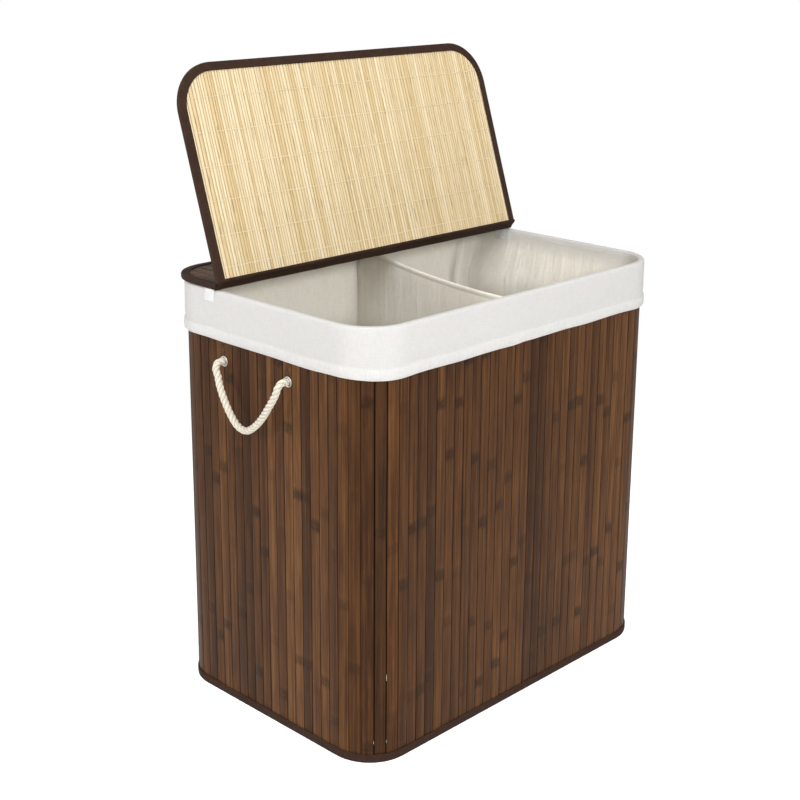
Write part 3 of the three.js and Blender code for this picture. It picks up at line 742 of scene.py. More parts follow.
def make_camera():
    """The camera, at the photograph's angle."""
    forward = Vector((
        math.sin(CAMERA_YAW) * math.cos(CAMERA_PITCH),
        math.cos(CAMERA_YAW) * math.cos(CAMERA_PITCH),
        -math.sin(CAMERA_PITCH),
    ))
    level = Vector((math.cos(CAMERA_YAW), -math.sin(CAMERA_YAW), 0))
    upward = level.cross(forward)
    right = math.cos(CAMERA_ROLL) * level + math.sin(CAMERA_ROLL) * upward
    top = -math.sin(CAMERA_ROLL) * level + math.cos(CAMERA_ROLL) * upward
    data = bpy.data.cameras.new("Camera")
    camera = bpy.data.objects.new("Camera", data)
    bpy.context.collection.objects.link(camera)
    turn = Matrix((right, top, -forward)).transposed().to_4x4()
    camera.matrix_world = Matrix.Translation(CAMERA_PLACE) @ turn
    data.lens = CAMERA_LENS
    data.sensor_width = 36
    data.shift_y = CAMERA_SHIFT_Y
    bpy.context.scene.camera = camera


def area_light(name, place, target, power, width, height):
    """A soft light that faces a point."""
    data = bpy.data.lights.new(name, "AREA")
    data.shape = "RECTANGLE"
    data.size = width
    data.size_y = height
    data.energy = power
    lamp = bpy.data.objects.new(name, data)
    bpy.context.collection.objects.link(lamp)
    lamp.location = place
    lamp.rotation_mode = "QUATERNION"
    lamp.rotation_quaternion = (Vector(target) - Vector(place)).to_track_quat("-Z", "Y")


def white_for_camera(tree):
    """1 where a straight, mirrored or clear ray meets the surface, and 0 for scattered light."""
    rays = add_node(tree, "LightPath").outputs
    seen = add_node(tree, "Math", {0: rays["Is Camera Ray"], 1: rays["Is Glossy Ray"]}, operation="MAXIMUM")
    inputs = {0: seen.outputs[0], 1: rays["Is Transmission Ray"]}
    return add_node(tree, "Math", inputs, operation="MAXIMUM").outputs[0]


def make_world():
    """An even studio light, white where the camera sees it."""
    world = bpy.data.worlds.new("Studio")
    bpy.context.scene.world = world
    world.use_nodes = True
    tree = world.node_tree
    light = tree.nodes["Background"]
    light.inputs["Color"].default_value = WORLD_COLOUR
    light.inputs["Strength"].default_value = WORLD_LIGHT
    white = add_node(tree, "Background", {"Color": WHITE, "Strength": 1})
    mixed = add_node(tree, "MixShader", {0: white_for_camera(tree), 1: light.outputs[0], 2: white.outputs[0]})
    tree.links.new(mixed.outputs[0], tree.nodes["World Output"].inputs["Surface"])


def make_floor(colour):
    """A wide pale floor that keeps the hamper's shadow and fades to white."""
    deselect_all()
    bpy.ops.mesh.primitive_plane_add(size=FLOOR_SIZE, location=(0, 0, 0))
    floor = bpy.context.object
    floor.name = "studio_floor"
    material = bpy.data.materials.new("Studio floor")
    material.use_nodes = True
    tree = material.node_tree
    shader = tree.nodes["Principled BSDF"]
    for socket, value in (("Base Color", (*colour, 1)), ("Roughness", 0.9), ("Specular IOR Level", 0.0)):
        shader.inputs[socket].default_value = value
    share = white_for_camera(tree)
    strength = add_node(tree, "Math", {0: share, 1: FLOOR_GLOW}, operation="MULTIPLY")
    glow = add_node(tree, "Emission", {"Color": WHITE, "Strength": strength.outputs[0]})
    both = add_node(tree, "AddShader", {0: shader.outputs[0], 1: glow.outputs[0]})
    # Away from the hamper the floor turns into plain white for the camera.
    place = add_node(tree, "TexCoord").outputs["Object"]
    length = add_node(tree, "VectorMath", {0: place}, operation="LENGTH")
    inputs = {"Value": length.outputs["Value"], "From Min": SHADOW_REACH, "From Max": WHITE_FROM}
    away = add_node(tree, "MapRange", inputs)
    far = add_node(tree, "Math", {0: away.outputs["Result"], 1: share}, operation="MULTIPLY")
    white = add_node(tree, "Emission")
    mixed = add_node(tree, "MixShader", {0: far.outputs[0], 1: both.outputs[0], 2: white.outputs[0]})
    tree.links.new(mixed.outputs[0], tree.nodes["Material Output"].inputs["Surface"])
    floor.data.materials.append(material)


class HAMPER_OT_stage(bpy.types.Operator):
    """Sets the camera, the soft lights and the pale floor"""

    bl_idname = "hamper.stage"
    bl_label = "Studio"

    def execute(self, context):
        make_camera()
        make_world()
        make_floor(tuple(context.scene.hamper_colours.floor))
        for light in LIGHTS:
            area_light(*light)
        context.scene.view_settings.view_transform = "Standard"
        return {"FINISHED"}


class HAMPER_OT_finishes(bpy.types.Operator):
    """Mixes the finishes of bamboo, cloth, rope, metal, board and plastic"""

    bl_idname = "hamper.finishes"
    bl_label = "Finishes"

    def execute(self, context):
        make_finishes(context.scene.hamper_colours)
        return {"FINISHED"}


# Rope handles

# The left loop's own line below its two bends, from the back hole to the front one, in millimetres.
LOOP = (
    (-317.3, 74, 488.5), (-319, 69, 478.5), (-320, 62, 466),
    (-319.5, 55, 453), (-319, 46.5, 440.5), (-318.5, 36, 430), (-318, 25, 425), (-318, 13, 426),
    (-318.5, 1, 433), (-319, -11, 443), (-319.5, -22, 455), (-320, -32, 468), (-319, -39.5, 479.5),
    (-317.3, -44.5, 489.5),
)
# From a knot out through its hole and over, as steps along X, towards the loop's middle, and up.
BEND = (
    (-288, 0, 504), (-294, 0, 504), (-300, 0, 504.1), (-305.5, 0, 504.6), (-310.6, 0.2, 504),
    (-314.6, 1.0, 501), (-316.6, 2.6, 495.6),
)
ROPE_SIDES = 24
ROPE_STEP = 1.7 * MM
STRANDS = 3
GROOVE_DEPTH = 0.26
KNOT_TUBE = 3.0 * MM
KNOT_RING = 5.4 * MM
KNOT_WAVE = 2.1 * MM
KNOT_CENTRE_X = 287.8 * MM
KNOT_STRETCH = 1.18
KNOT_POINTS = 90
KNOT_TWIST = 20 * MM
# The rope bends between these two places, given as distance from the middle and height.
BEND_START = (310.5 * MM, 507 * MM)
BEND_END = (317 * MM, 497.5 * MM)


def smooth_path(points, step, closed=False):
    """Even steps along a soft curve through the points."""
    count = len(points)
    parts = 12
    fine = []
    for i in range(count if closed else count - 1):
        beside = [i + k for k in (-1, 0, 1, 2)]
        p = [points[n % count if closed else min(max(n, 0), count - 1)] for n in beside]
        for k in range(parts):
            t = k / parts
            fine.append(0.5 * (2 * p[1] + (p[2] - p[0]) * t
                               + (2 * p[0] - 5 * p[1] + 4 * p[2] - p[3]) * t * t
                               + (3 * p[1] - 3 * p[2] + p[3] - p[0]) * t * t * t))
    if not closed:
        fine.append(points[-1].copy())
    reach = steps_along(fine, closed)
    total = reach[-1]
    number = round(total / step)
    even = []
    place = 0
    for k in range(number if closed else number + 1):
        want = total * k / number
        while place < len(fine) - 2 and reach[place + 1] < want:
            place += 1
        span = reach[place + 1] - reach[place]
        even.append(fine[place].lerp(fine[place + 1], min(1.0, (want - reach[place]) / span)))
    return even


def strand_tube(name, path, radius, twist, closed=False):
    """A rope of three twisted strands round a path, with its grooves kept as a number on its points for the
    painted shade in them.
    """
    count = len(path)
    rows = []
    grooves = []
    side = Vector((0, 0, 1))
    for i, point in enumerate(path):
        before = path[i - 1] if closed or i > 0 else point
        after = path[(i + 1) % count] if closed or i < count - 1 else point
        ahead = (after - before).normalized()
        side = (side - ahead * side.dot(ahead)).normalized()
        over = ahead.cross(side)
        turn = 2 * math.pi * i * ROPE_STEP / twist
        row = []
        for k in range(ROPE_SIDES):
            angle = 2 * math.pi * k / ROPE_SIDES
            lobe = abs(math.cos(0.5 * STRANDS * angle)) ** 0.75
            reach = radius * (1 - GROOVE_DEPTH * (1 - lobe))
            row.append(point + reach * (math.cos(angle + turn) * side + math.sin(angle + turn) * over))
            grooves.append(1 - lobe)
        rows.append(row)
    around = [radius * 2 * math.pi * k / ROPE_SIDES for k in range(ROPE_SIDES + 1)]
    along = [ROPE_STEP * i for i in range(count + 1)]
    obj = loft(name, rows, around, along, ring=True, tube=closed, caps=not closed)
    tag_points(obj, "groove", grooves)
    outwards(obj)
    return smooth(obj, 75)


def handle_path(side):
    """The rope's line from its back knot to its front one; side is -1 on the left and 1 on the right."""
    back_y = HOLE_YS["back"] / MM
    front_y = HOLE_YS["front"] / MM
    points = [(x, back_y - inwards, z) for x, inwards, z in BEND]
    points += LOOP
    points += [(x, front_y + inwards, z) for x, inwards, z in reversed(BEND)]
    return smooth_path([Vector((-side * x, y, z)) * MM for x, y, z in points], ROPE_STEP)


def rope_knot(name, side, y):
    """The stopper knot behind a hole, between wall and liner."""
    points = []
    for k in range(KNOT_POINTS):
        t = 2 * math.pi * k / KNOT_POINTS
        ring = KNOT_RING + KNOT_WAVE * math.cos(3 * t)
        points.append(Vector((
            side * KNOT_CENTRE_X + KNOT_STRETCH * KNOT_WAVE * math.sin(3 * t),
            y + ring * math.cos(2 * t),
            HANDLE_HEIGHT + ring * math.sin(2 * t),
        )))
    return strand_tube(name, smooth_path(points, ROPE_STEP, closed=True), KNOT_TUBE, KNOT_TWIST, closed=True)


class HAMPER_OT_handles(bpy.types.Operator):
    """Twists the two rope handles and ties their knots"""

    bl_idname = "hamper.handles"
    bl_label = "Rope handles"

    def execute(self, context):
        twist = context.scene.hamper_sizes.twist
        for side, word in ((-1, "left"), (1, "right")):
            for end, y in HOLE_YS.items():
                knot = rope_knot(f"{word}_{end}_stopper_knot", side, y)
                dress(knot, "Cotton rope", BODY, [f"{word}_{end}_rope_knot"])
            path = handle_path(side)
            rope = strand_tube(f"{word}_rope_handle", path, ROPE_RADIUS, twist)
            dress(rope, "Cotton rope", None, [f"{word}_handle_rope"])
            middle = sum(HOLE_YS.values()) / 2
            start, end = [(side * x, middle, z) for x, z in (BEND_START, BEND_END)]
            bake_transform(rope)
        return {"FINISHED"}


# Slats

SLAT_CROWN = 0.6 * MM
SLAT_LEVELS = 6
SLAT_SHAKE = 0.13 * MM
STRIP_CROWN = 0.9 * MM
STRIP_GAP = 2.2 * MM
STRIP_SET_BACK = 0.25 * MM
HOLE_RADIUS = 6.3 * MM
# Visible ends of the sewing thread beside the closing strip: side, height, length.
STRIP_THREADS = ((-1, 27 * MM, 4 * MM), (1, 27 * MM, 4 * MM), (1, 118 * MM, 9 * MM))


def mark_edges(obj, half_width, start):
    """Keeps on each point how near it lies to the side edge, from 0 at a share of the half width to 1; the
    finishes darken the edges by it as painted shade beside the gaps.
    """
    values = []
    for vert in obj.data.vertices:
        share = (abs(vert.co.x) / half_width - start) / (1 - start)
        values.append(min(1.0, max(0.0, share)))
    tag_points(obj, "edge", values)


def split_piece(name, width, thickness, length, levels, edge_start, **bevel):
    """A piece of bamboo that stands on z = 0, its good face towards -Y, with rounded long edges."""
    obj = box_piece(name, (-width / 2, 0, 0), (width / 2, thickness, length))
    pick(obj, "edges", lambda co: all(c.y < thickness / 4 for c in co) and abs(co[0].x - co[1].x) < width / 8)
    bpy.ops.mesh.bevel(affect="EDGES", **bevel)
    for level in range(1, levels):
        bpy.ops.mesh.select_all(action="SELECT")
        bpy.ops.mesh.bisect(plane_co=(0, 0, length * level / levels), plane_no=(0, 0, 1))
    close_edit()
    mark_edges(obj, width / 2, edge_start)
    return unwrap(obj, lambda point: (point.x, point.z))


def slat_template(width, thickness, length, crown):
    """One slat, softly rounded by its crown."""
    bevel = {"offset": crown, "segments": 3, "profile": 0.42}
    return smooth(split_piece("slat", width, thickness, length, SLAT_LEVELS, 0.72, **bevel), 35)


def shake_sides(obj, dice, amount):
    """Moves each level of a slat a little sideways, as split bamboo grows."""
    drift = {}
    for vert in obj.data.vertices:
        level = round(vert.co.z / (5 * MM))
        if level not in drift:
            drift[level] = dice.uniform(-amount, amount)
        vert.co.x += drift[level]


def tone_of(dice):
    """A slat's place between dark and warm: most lie in the middle, a few stand out."""
    return min(1.0, max(0.0, dice.gauss(0.5, 0.21)))


def wall_layout():
    """The closing strip's place along the outline, and the other slats' number, pitch and first start."""
    strip_centre = PERIMETER - CORNER_LENGTH * (1 - STRIP_SHARE)
    count = round((PERIMETER - STRIP_WIDTH) / SLAT_PITCH)
    pitch = (PERIMETER - STRIP_WIDTH) / count
    return strip_centre, count, pitch, strip_centre - PERIMETER + STRIP_WIDTH / 2


def chord_place(start, width, gap, dice):
    """Where a slat stands that spans the outline from start over width."""
    a = outline_point(start + gap / 2)[0]
    b = outline_point(start + width - gap / 2)[0]
    along = (b - a).normalized()
    angle = math.atan2(along.y, along.x)
    middle = (a + b) / 2
    inwards = Vector((-along.y, along.x, 0)) * dice.uniform(0.0, 0.18 * MM)
    lean = Matrix.Rotation(dice.uniform(-0.0004, 0.0004), 4, "Y")
    lift = Vector((0, 0, SLAT_BOTTOM))
    return Matrix.Translation(middle + inwards + lift) @ Matrix.Rotation(angle, 4, "Z") @ lean


PANELS = (
    "slats_front", "corner_slats_front_right", "slats_right", "corner_slats_back_right",
    "slats_back", "corner_slats_back_left", "slats_left", "corner_slats_front_left",
)
HOLED_PANELS = {"slats_left": -1, "slats_right": 1}


def drill_holes(panel, side):
    """Opens the two rope holes of one short side."""
    for y in HOLE_YS.values():
        deselect_all()
        bpy.ops.mesh.primitive_cylinder_add(
            vertices=32,
            radius=HOLE_RADIUS,
            depth=30 * MM,
            location=(side * HALF_WIDTH, y, HANDLE_HEIGHT),
            rotation=(0, QUARTER, 0),
        )
        drill = bpy.context.object
        apply_modifier(panel, "BOOLEAN", operation="DIFFERENCE", object=drill, solver="EXACT")
        removed(drill)


class HAMPER_OT_wall_slats(bpy.types.Operator):
    """Splits the wall's slats and stands them side by side on four sides and four corners"""

    bl_idname = "hamper.wall_slats"
    bl_label = "Wall slats"

    def execute(self, context):
        dice = random.Random(11)
        gap = context.scene.hamper_sizes.slat_gap
        _, count, pitch, first = wall_layout()
        length = SLAT_TOP - SLAT_BOTTOM
        slat = slat_template(pitch - gap, SLAT_THICKNESS - 0.1 * MM, length, SLAT_CROWN)
        ends = []
        reach = 0.0
        for flat in (2 * FLAT_X, 2 * FLAT_Y) * 2:
            ends.append(reach + flat)
            ends.append(reach + flat + CORNER_LENGTH)
            reach += flat + CORNER_LENGTH
        ends[-1] = math.inf
        panels = {name: [] for name in PANELS}
        for number in range(count):
            start = first + number * pitch
            panel = next(k for k, end in enumerate(ends) if start + pitch / 2 < end)
            place = chord_place(start, pitch, gap, dice)
            twin = copied(slat, f"slat_{number}")
            shake_sides(twin, dice, SLAT_SHAKE)
            twin.data.transform(place)
            tag(twin, "tone", tone_of(dice))
            tag(twin, "seed", dice.random())
            panels[PANELS[panel]].append(twin)
        removed(slat)
        for name, slats in panels.items():
            panel = joined(slats, f"bamboo_{name}")
            if name in HOLED_PANELS:
                drill_holes(panel, HOLED_PANELS[name])
            dress(panel, "Walnut bamboo", BODY, [name])
        return {"FINISHED"}


class HAMPER_OT_closing_strip(bpy.types.Operator):
    """Sets the dark strip that closes the wall, with the threads that hold it"""

    bl_idname = "hamper.closing_strip"
    bl_label = "Closing strip"

    def execute(self, context):
        dice = random.Random(5)
        strip_centre = wall_layout()[0]
        length = SLAT_TOP - SLAT_BOTTOM
        strip = slat_template(STRIP_WIDTH - STRIP_GAP, SLAT_THICKNESS - 0.5 * MM, length, STRIP_CROWN)
        place = chord_place(strip_centre - STRIP_WIDTH / 2, STRIP_WIDTH, STRIP_GAP, dice)
        strip.data.transform(place @ Matrix.Translation((0, STRIP_SET_BACK, 0)))
        strip.name = "dark_closing_strip"
        tag(strip, "tone", 0.4)
        tag(strip, "seed", 0.3)
        dress(strip, "Closing strip", BODY, ["closing_strip"])
        threads = []
        for sign, low, tall in STRIP_THREADS:
            edge = sign * STRIP_WIDTH / 2
            near = (edge - 0.35 * MM, 0.8 * MM, low)
            stitch = box_piece("stitch", near, (edge + 0.35 * MM, 1.6 * MM, low + tall))
            bpy.ops.mesh.select_all(action="SELECT")
            bpy.ops.mesh.bevel(offset=0.3 * MM, segments=2, affect="EDGES")
            close_edit()
            stitch.data.transform(place @ Matrix.Translation((0, 0, -SLAT_BOTTOM)))
            threads.append(smooth(stitch))
        dress(joined(threads, "closing_strip_threads"), "Pale thread")
        return {"FINISHED"}


# Cloth edgings

EDGING_CLOTH = 0.7 * MM
# The folded tapes: name, lowest and highest point, and whether the fold lies at the bottom.
EDGINGS = (
    ("bottom_binding", 0.35 * MM, 12.3 * MM, True),
    ("top_binding", 586.2 * MM, 597.95 * MM, False),
)
EDGING_INSETS = (-0.9 * MM, 5.2 * MM)
EDGING_STITCH_HEIGHTS = (4.2 * MM, 9.4 * MM)
EDGING_STITCH_PITCH = 4.6 * MM


def wall_loop(inset_x, inset_y, step):
    """The wall's outline at its own insets, anticlockwise, with a point at each step."""
    radius = CORNER_RADIUS - max(inset_x, inset_y)
    reach_x = HALF_WIDTH - inset_x - radius
    reach_y = HALF_DEPTH - inset_y - radius
    points = []
    for distance in outline_stations(step):
        point, outward = outline_point(distance, CORNER_RADIUS)
        centre = Vector((point.x * reach_x / FLAT_X, point.y * reach_y / FLAT_Y, 0))
        points.append(centre + radius * outward)
    return points


def edging_section(outer, inner, low, high, fold_low):
    """A folded tape seen from its end: from the outer leg's edge over the fold to the inner leg's edge.

    Each entry is an inset and a height; the fold lies at the bottom or at the top.
    """
    height = high - low
    ridge = 0.28 * MM
    heights = (1.0, 0.955, 0.91, 0.86, 0.80, 0.62, 0.53, 0.47, 0.41, 0.32, 0.18, 0.07)
    bulges = (0.15, 0.6, 1.0, 0.5, 0.0, 0.0, 0.6, 1.0, 0.6, 0.0, 0.05, 0.15)
    leg = []
    for share, bulge in zip(heights, bulges):
        z = low + height * share if fold_low else high - height * share
        leg.append((outer - ridge * (bulge - 1), z))
    turn = low if fold_low else high
    back = high if fold_low else low
    lift = 0.6 * MM if fold_low else -0.6 * MM
    fold = [(outer + ridge + 0.5 * MM, turn + 0.15 * lift), (outer + 1.6 * MM, turn)]
    fold += [(inner - 1.6 * MM, turn), (inner - 0.3 * MM, turn + 0.4 * lift)]
    return leg + fold + [(inner, turn + 2 * lift), (inner, (turn + back) / 2), (inner, back)]


def wall_edging(name, section, thickness):
    """A cloth tape folded round the wall's edge all the way round."""
    dice = random.Random(len(name))
    waves = [dice.uniform(-1, 1) for _ in range(400)]
    rows = []
    for inset, z in section:
        row = []
        for number, point in enumerate(wall_loop(inset, inset, 7 * MM)):
            wave = waves[(number // 2) % 400] * 0.12 * MM
            row.append(point + Vector((0, 0, z + (wave if z > section[-3][1] else 0))))
        rows.append(row)
    across = steps_along(rows[0], closed=True)
    along = steps_along([Vector((0, inset, z)) for inset, z in section])
    obj = thickened(loft(name, rows, across, along, ring=True), thickness, 50)
    return obj, across[-1], along[-1]


class HAMPER_OT_wall_edgings(bpy.types.Operator):
    """Folds brown cloth over the slats' lower and upper ends"""

    bl_idname = "hamper.wall_edgings"
    bl_label = "Wall edgings"

    def execute(self, context):
        for name, low, high, fold_low in EDGINGS:
            section = edging_section(*EDGING_INSETS, low, high, fold_low)
            obj, length, width = wall_edging(f"cloth_{name}", section, EDGING_CLOTH)
            dress(obj, "Brown edging", BODY, [name])
        rows = []
        for height in EDGING_STITCH_HEIGHTS:
            loop = [point + Vector((0, 0, height)) for point in wall_loop(-1.05 * MM, -1.05 * MM, 8 * MM)]
            line = smooth_path(loop, EDGING_STITCH_PITCH, closed=True)
            rows.append(stitch_row("edging_stitches", line, outward_normals(line), 3.4 * MM, 0.9 * MM))
        dress(joined(rows, "bottom_edging_stitches"), "Dark thread")
        return {"FINISHED"}


# Eyelets and clips

EYELET_SECTION = (
    (6.2, 5.4), (-0.4, 5.4), (-1.1, 5.75), (-1.35, 6.5), (-1.2, 6.9), (-0.75, 7.3),
    (-0.32, 7.4), (-0.32, 6.0), (5.7, 6.0), (5.7, 7.4), (6.2, 7.2),
)
EYELET_STEPS = 40


def turned_eyelet(name, side, y):
    """An eyelet's section, set beside its axis and spun round it."""
    deselect_all()
    bpy.ops.mesh.primitive_circle_add(vertices=len(EYELET_SECTION), radius=1 * MM)
    obj = bpy.context.object
    obj.name = name
    for vert, (inset, radius) in zip(obj.data.vertices, EYELET_SECTION):
        vert.co = (side * (HALF_WIDTH - inset * MM), y, HANDLE_HEIGHT + radius * MM)
    bpy.ops.object.mode_set(mode="EDIT")
    bpy.ops.mesh.select_all(action="SELECT")
    bpy.ops.mesh.spin(
        steps=EYELET_STEPS,
        angle=2 * math.pi,
        center=(side * HALF_WIDTH, y, HANDLE_HEIGHT),
        axis=(1, 0, 0),
    )
    close_edit()
    outwards(obj)
    return smooth(obj, 50)


class HAMPER_OT_eyelets(bpy.types.Operator):
    """Turns the four bright eyelets"""

    bl_idname = "hamper.eyelets"
    bl_label = "Eyelets"

    def execute(self, context):
        for side, word in ((-1, "left"), (1, "right")):
            for end, y in HOLE_YS.items():
                node = f"{word}_{end}_eyelet"
                eyelet = turned_eyelet(f"turned_{node}", side, y)
                dress(eyelet, "Bright steel", BODY, [node])
        return {"FINISHED"}


CLIP_WALL = 0.6 * MM
CLIP_OUTSIDE = 304.28 * MM
CLIP_INSIDE = 291.6 * MM
CLIP_TOP = 600.9 * MM
CLIP_Y = (94.4 * MM, 114.4 * MM)
CLIP_LEGS = (17 * MM, 19 * MM)


class HAMPER_OT_clips(bpy.types.Operator):
    """Moulds the two clear clips under the flap's ends"""

    bl_idname = "hamper.clips"
    bl_label = "Rim clips"

    def execute(self, context):
        for side, word in ((-1, "left"), (1, "right")):
            low_x, high_x = sorted((side * CLIP_OUTSIDE, side * CLIP_INSIDE))
            clip = box_piece(
                f"moulded_{word}_clip",
                (low_x, CLIP_Y[0], CLIP_TOP - CLIP_WALL),
                (high_x, CLIP_Y[1], CLIP_TOP),
            )
            for x in (low_x + CLIP_WALL, high_x - CLIP_WALL):
                bpy.ops.mesh.select_all(action="SELECT")
                bpy.ops.mesh.bisect(plane_co=(x, 0, 0), plane_no=(1, 0, 0))
            floor = CLIP_TOP - CLIP_WALL
            outside_low = low_x if side < 0 else high_x - CLIP_WALL
            for start in (low_x, high_x - CLIP_WALL):
                drop = CLIP_LEGS[0] if abs(start - outside_low) < CLIP_WALL / 2 else CLIP_LEGS[1]
                middle = start + CLIP_WALL / 2
                pick(clip, "faces", lambda co: all(abs(c.z - floor) < 0.01 * MM for c in co)
                     and abs(sum(c.x for c in co) / len(co) - middle) < 0.05 * MM)
                bpy.ops.mesh.extrude_region_move(
                    TRANSFORM_OT_translate={"value": (0, 0, CLIP_WALL - drop)},
                )
            pick(clip, "edges", lambda co: all(c.z < CLIP_TOP - CLIP_LEGS[0] + MM for c in co)
                 and abs(co[0].y - co[1].y) < 0.01 * MM and abs(co[0].x - co[1].x) > CLIP_WALL / 2)
            bpy.ops.mesh.bevel(offset=4 * MM, segments=5, affect="EDGES")
            close_edit()
            apply_modifier(clip, "BEVEL", width=0.14 * MM, segments=2, limit_method="ANGLE")
            smooth(clip)
            dress(clip, "Clear plastic", BODY, [f"{word}_rim_clip"])
        return {"FINISHED"}


# Liner and divider

# The liner's cloth from the turned-up hem over the rim and down inside: inset along X, inset along Y, height.
LINER_SECTION = (
    (-2.0, -2.0, 546.5), (-2.0, -2.0, 540.0), (-2.1, -2.1, 534.2), (-2.6, -2.6, 532.8),
    (-3.6, -3.6, 532.7), (-4.35, -4.35, 534.2), (-4.6, -4.6, 538.0), (-4.5, -4.5, 542.5),
    (-4.0, -4.0, 546.0), (-2.75, -2.75, 547.3), (-2.45, -2.45, 548.9), (-2.75, -2.75, 552.5),
    (-2.95, -2.95, 561.0), (-2.55, -2.55, 572.0), (-2.5, -2.5, 582.0), (-2.5, -2.5, 591.0),
    (-2.45, -2.45, 595.5), (-2.1, -2.1, 598.1), (-1.2, -1.2, 599.2), (0.2, 0.2, 599.35),
    (2.2, 2.2, 599.35), (4.4, 4.4, 599.3), (5.8, 5.8, 598.6), (6.6, 6.6, 597.0),
    (6.8, 6.8, 592.0), (6.8, 6.8, 580.0), (8.9, 6.8, 567.0), (11.1, 6.95, 558.0),
    (13.5, 7.35, 548.0), (16.0, 7.75, 538.0), (18.2, 8.0, 529.0),
    *((20.7, 8.1, z) for z in (518.0, 490.0, 450.0, 400.0, 340.0, 270.0, 200.0, 130.0, 70.0, 30.0, 6.8)),
)
# Sewn corners that stay visible, as places along the outline.
SEAMS = (0.898, 1.4715)
LINER_STEP = 5 * MM
LINER_THICKNESS = 1.25 * MM
CUFF_ROWS = 23
HEM_ROWS = range(3, 9)
HEM_STITCH_ROW = 9
CUFF_STRAIGHT_ROWS = 16
STITCH_PITCH = 3.6 * MM
# A small kink in the cuff: its place along the outline, and its width.
KINK_AT = 0.225
KINK_WIDTH = 0.013
FLOOR_INSETS = (20.4 * MM, 8 * MM)
FLOOR_STEP = 12 * MM
FLOOR_HEIGHT = 5.2 * MM
FLOOR_SHARES = (1.0, 0.985, 0.93, 0.84, 0.72, 0.58, 0.42, 0.26, 0.12, 0.03)
# Loose folds inside: place along the outline, width, share of the fold depth.
FOLDS = (
    (0.05, 0.012, 0.35), (0.22, 0.016, 0.45), (0.43, 0.012, 0.4), (0.525, 0.006, 0.8), (0.60, 0.014, 0.4),
    (0.72, 0.012, 0.2), (0.898, 0.006, 0.9), (1.05, 0.018, 0.2), (1.22, 0.016, 0.2), (1.36, 0.012, 0.25),
    (1.4715, 0.006, 0.85), (1.53, 0.011, 0.4),
    (1.66, 0.014, 0.4), (1.78, 0.008, 0.4), (1.845, 0.006, 0.8),
)


def soft_wave(seed, low, high):
    """A smooth, closed wave along the wall's outline, about -1 to 1."""
    dice = random.Random(seed)
    terms = [(k, dice.uniform(0, 2 * math.pi), dice.uniform(0.4, 1.0)) for k in range(low, high)]
    size = math.sqrt(sum(weight * weight for _, _, weight in terms) / 2) * 1.8

    def wave(distance):
        turn = 2 * math.pi * distance / PERIMETER
        return sum(weight * math.sin(k * turn + phase) for k, phase, weight in terms) / size

    return wave


def bump(gap, width):
    """A soft bump: 1 in its middle, and near 0 two widths away."""
    return math.exp(-((gap / width) ** 2))


def fold_at(distance, height):
    """How far the loose folds stand in at a place, from 0 to 1."""
    below = min(1.0, max(0.0, (0.586 - height) / 0.08))
    slack = below * below * (3 - 2 * below)
    total = 0.0
    for centre, width, share in FOLDS:
        gap = abs((distance - centre + PERIMETER / 2) % PERIMETER - PERIMETER / 2)
        total += share * bump(gap, width * (1 + 0.4 * slack))
    return slack * total


def seam_shade(distance, point):
    """Painted shade: how much darker the cloth is made beside its sewn corners and beside the divider's ends,
    most near the top.
    """
    gaps = [distance - seam for seam in SEAMS]
    gaps.append(point.x - (DIVIDER_BACK_X if point.y > 0 else DIVIDER_FRONT_X))
    narrow = max(bump(gap, 5 * MM) for gap in gaps)
    wide = max(bump(gap, 24 * MM) for gap in gaps)
    near_top = bump(point.z - 0.588, 0.022)
    return (0.5 + 0.4 * near_top) * narrow + 0.28 * wide


def stitch_row(name, points, normals, length=2.4 * MM, width=0.75 * MM):
    """Short stitches laid along a line of points, on the side that the normals face."""
    stitch = box_piece("stitch", (-length / 2, -width / 2, -0.2 * MM), (length / 2, width / 2, 0.3 * MM))
    pick(stitch, "faces", lambda co: all(c.z > 0.2 * MM for c in co))
    bpy.ops.mesh.bevel(offset=0.22 * MM, segments=1, affect="EDGES")
    close_edit()
    shape = bmesh.new()
    for i, (point, normal) in enumerate(zip(points, normals)):
        ahead = (points[(i + 1) % len(points)] - point).normalized()
        if i == len(points) - 1:
            ahead = (point - points[i - 1]).normalized()
        side = normal.cross(ahead).normalized()
        up = ahead.cross(side)
        place = Matrix.Translation(point) @ Matrix((ahead, side, up)).transposed().to_4x4()
        mesh = stitch.data.copy()
        mesh.transform(place)
        shape.from_mesh(mesh)
        bpy.data.meshes.remove(mesh)
    removed(stitch)
    mesh = bpy.data.meshes.new(name)
    shape.to_mesh(mesh)
    shape.free()
    obj = bpy.data.objects.new(name, mesh)
    bpy.context.collection.objects.link(obj)
    return smooth(obj, 60)


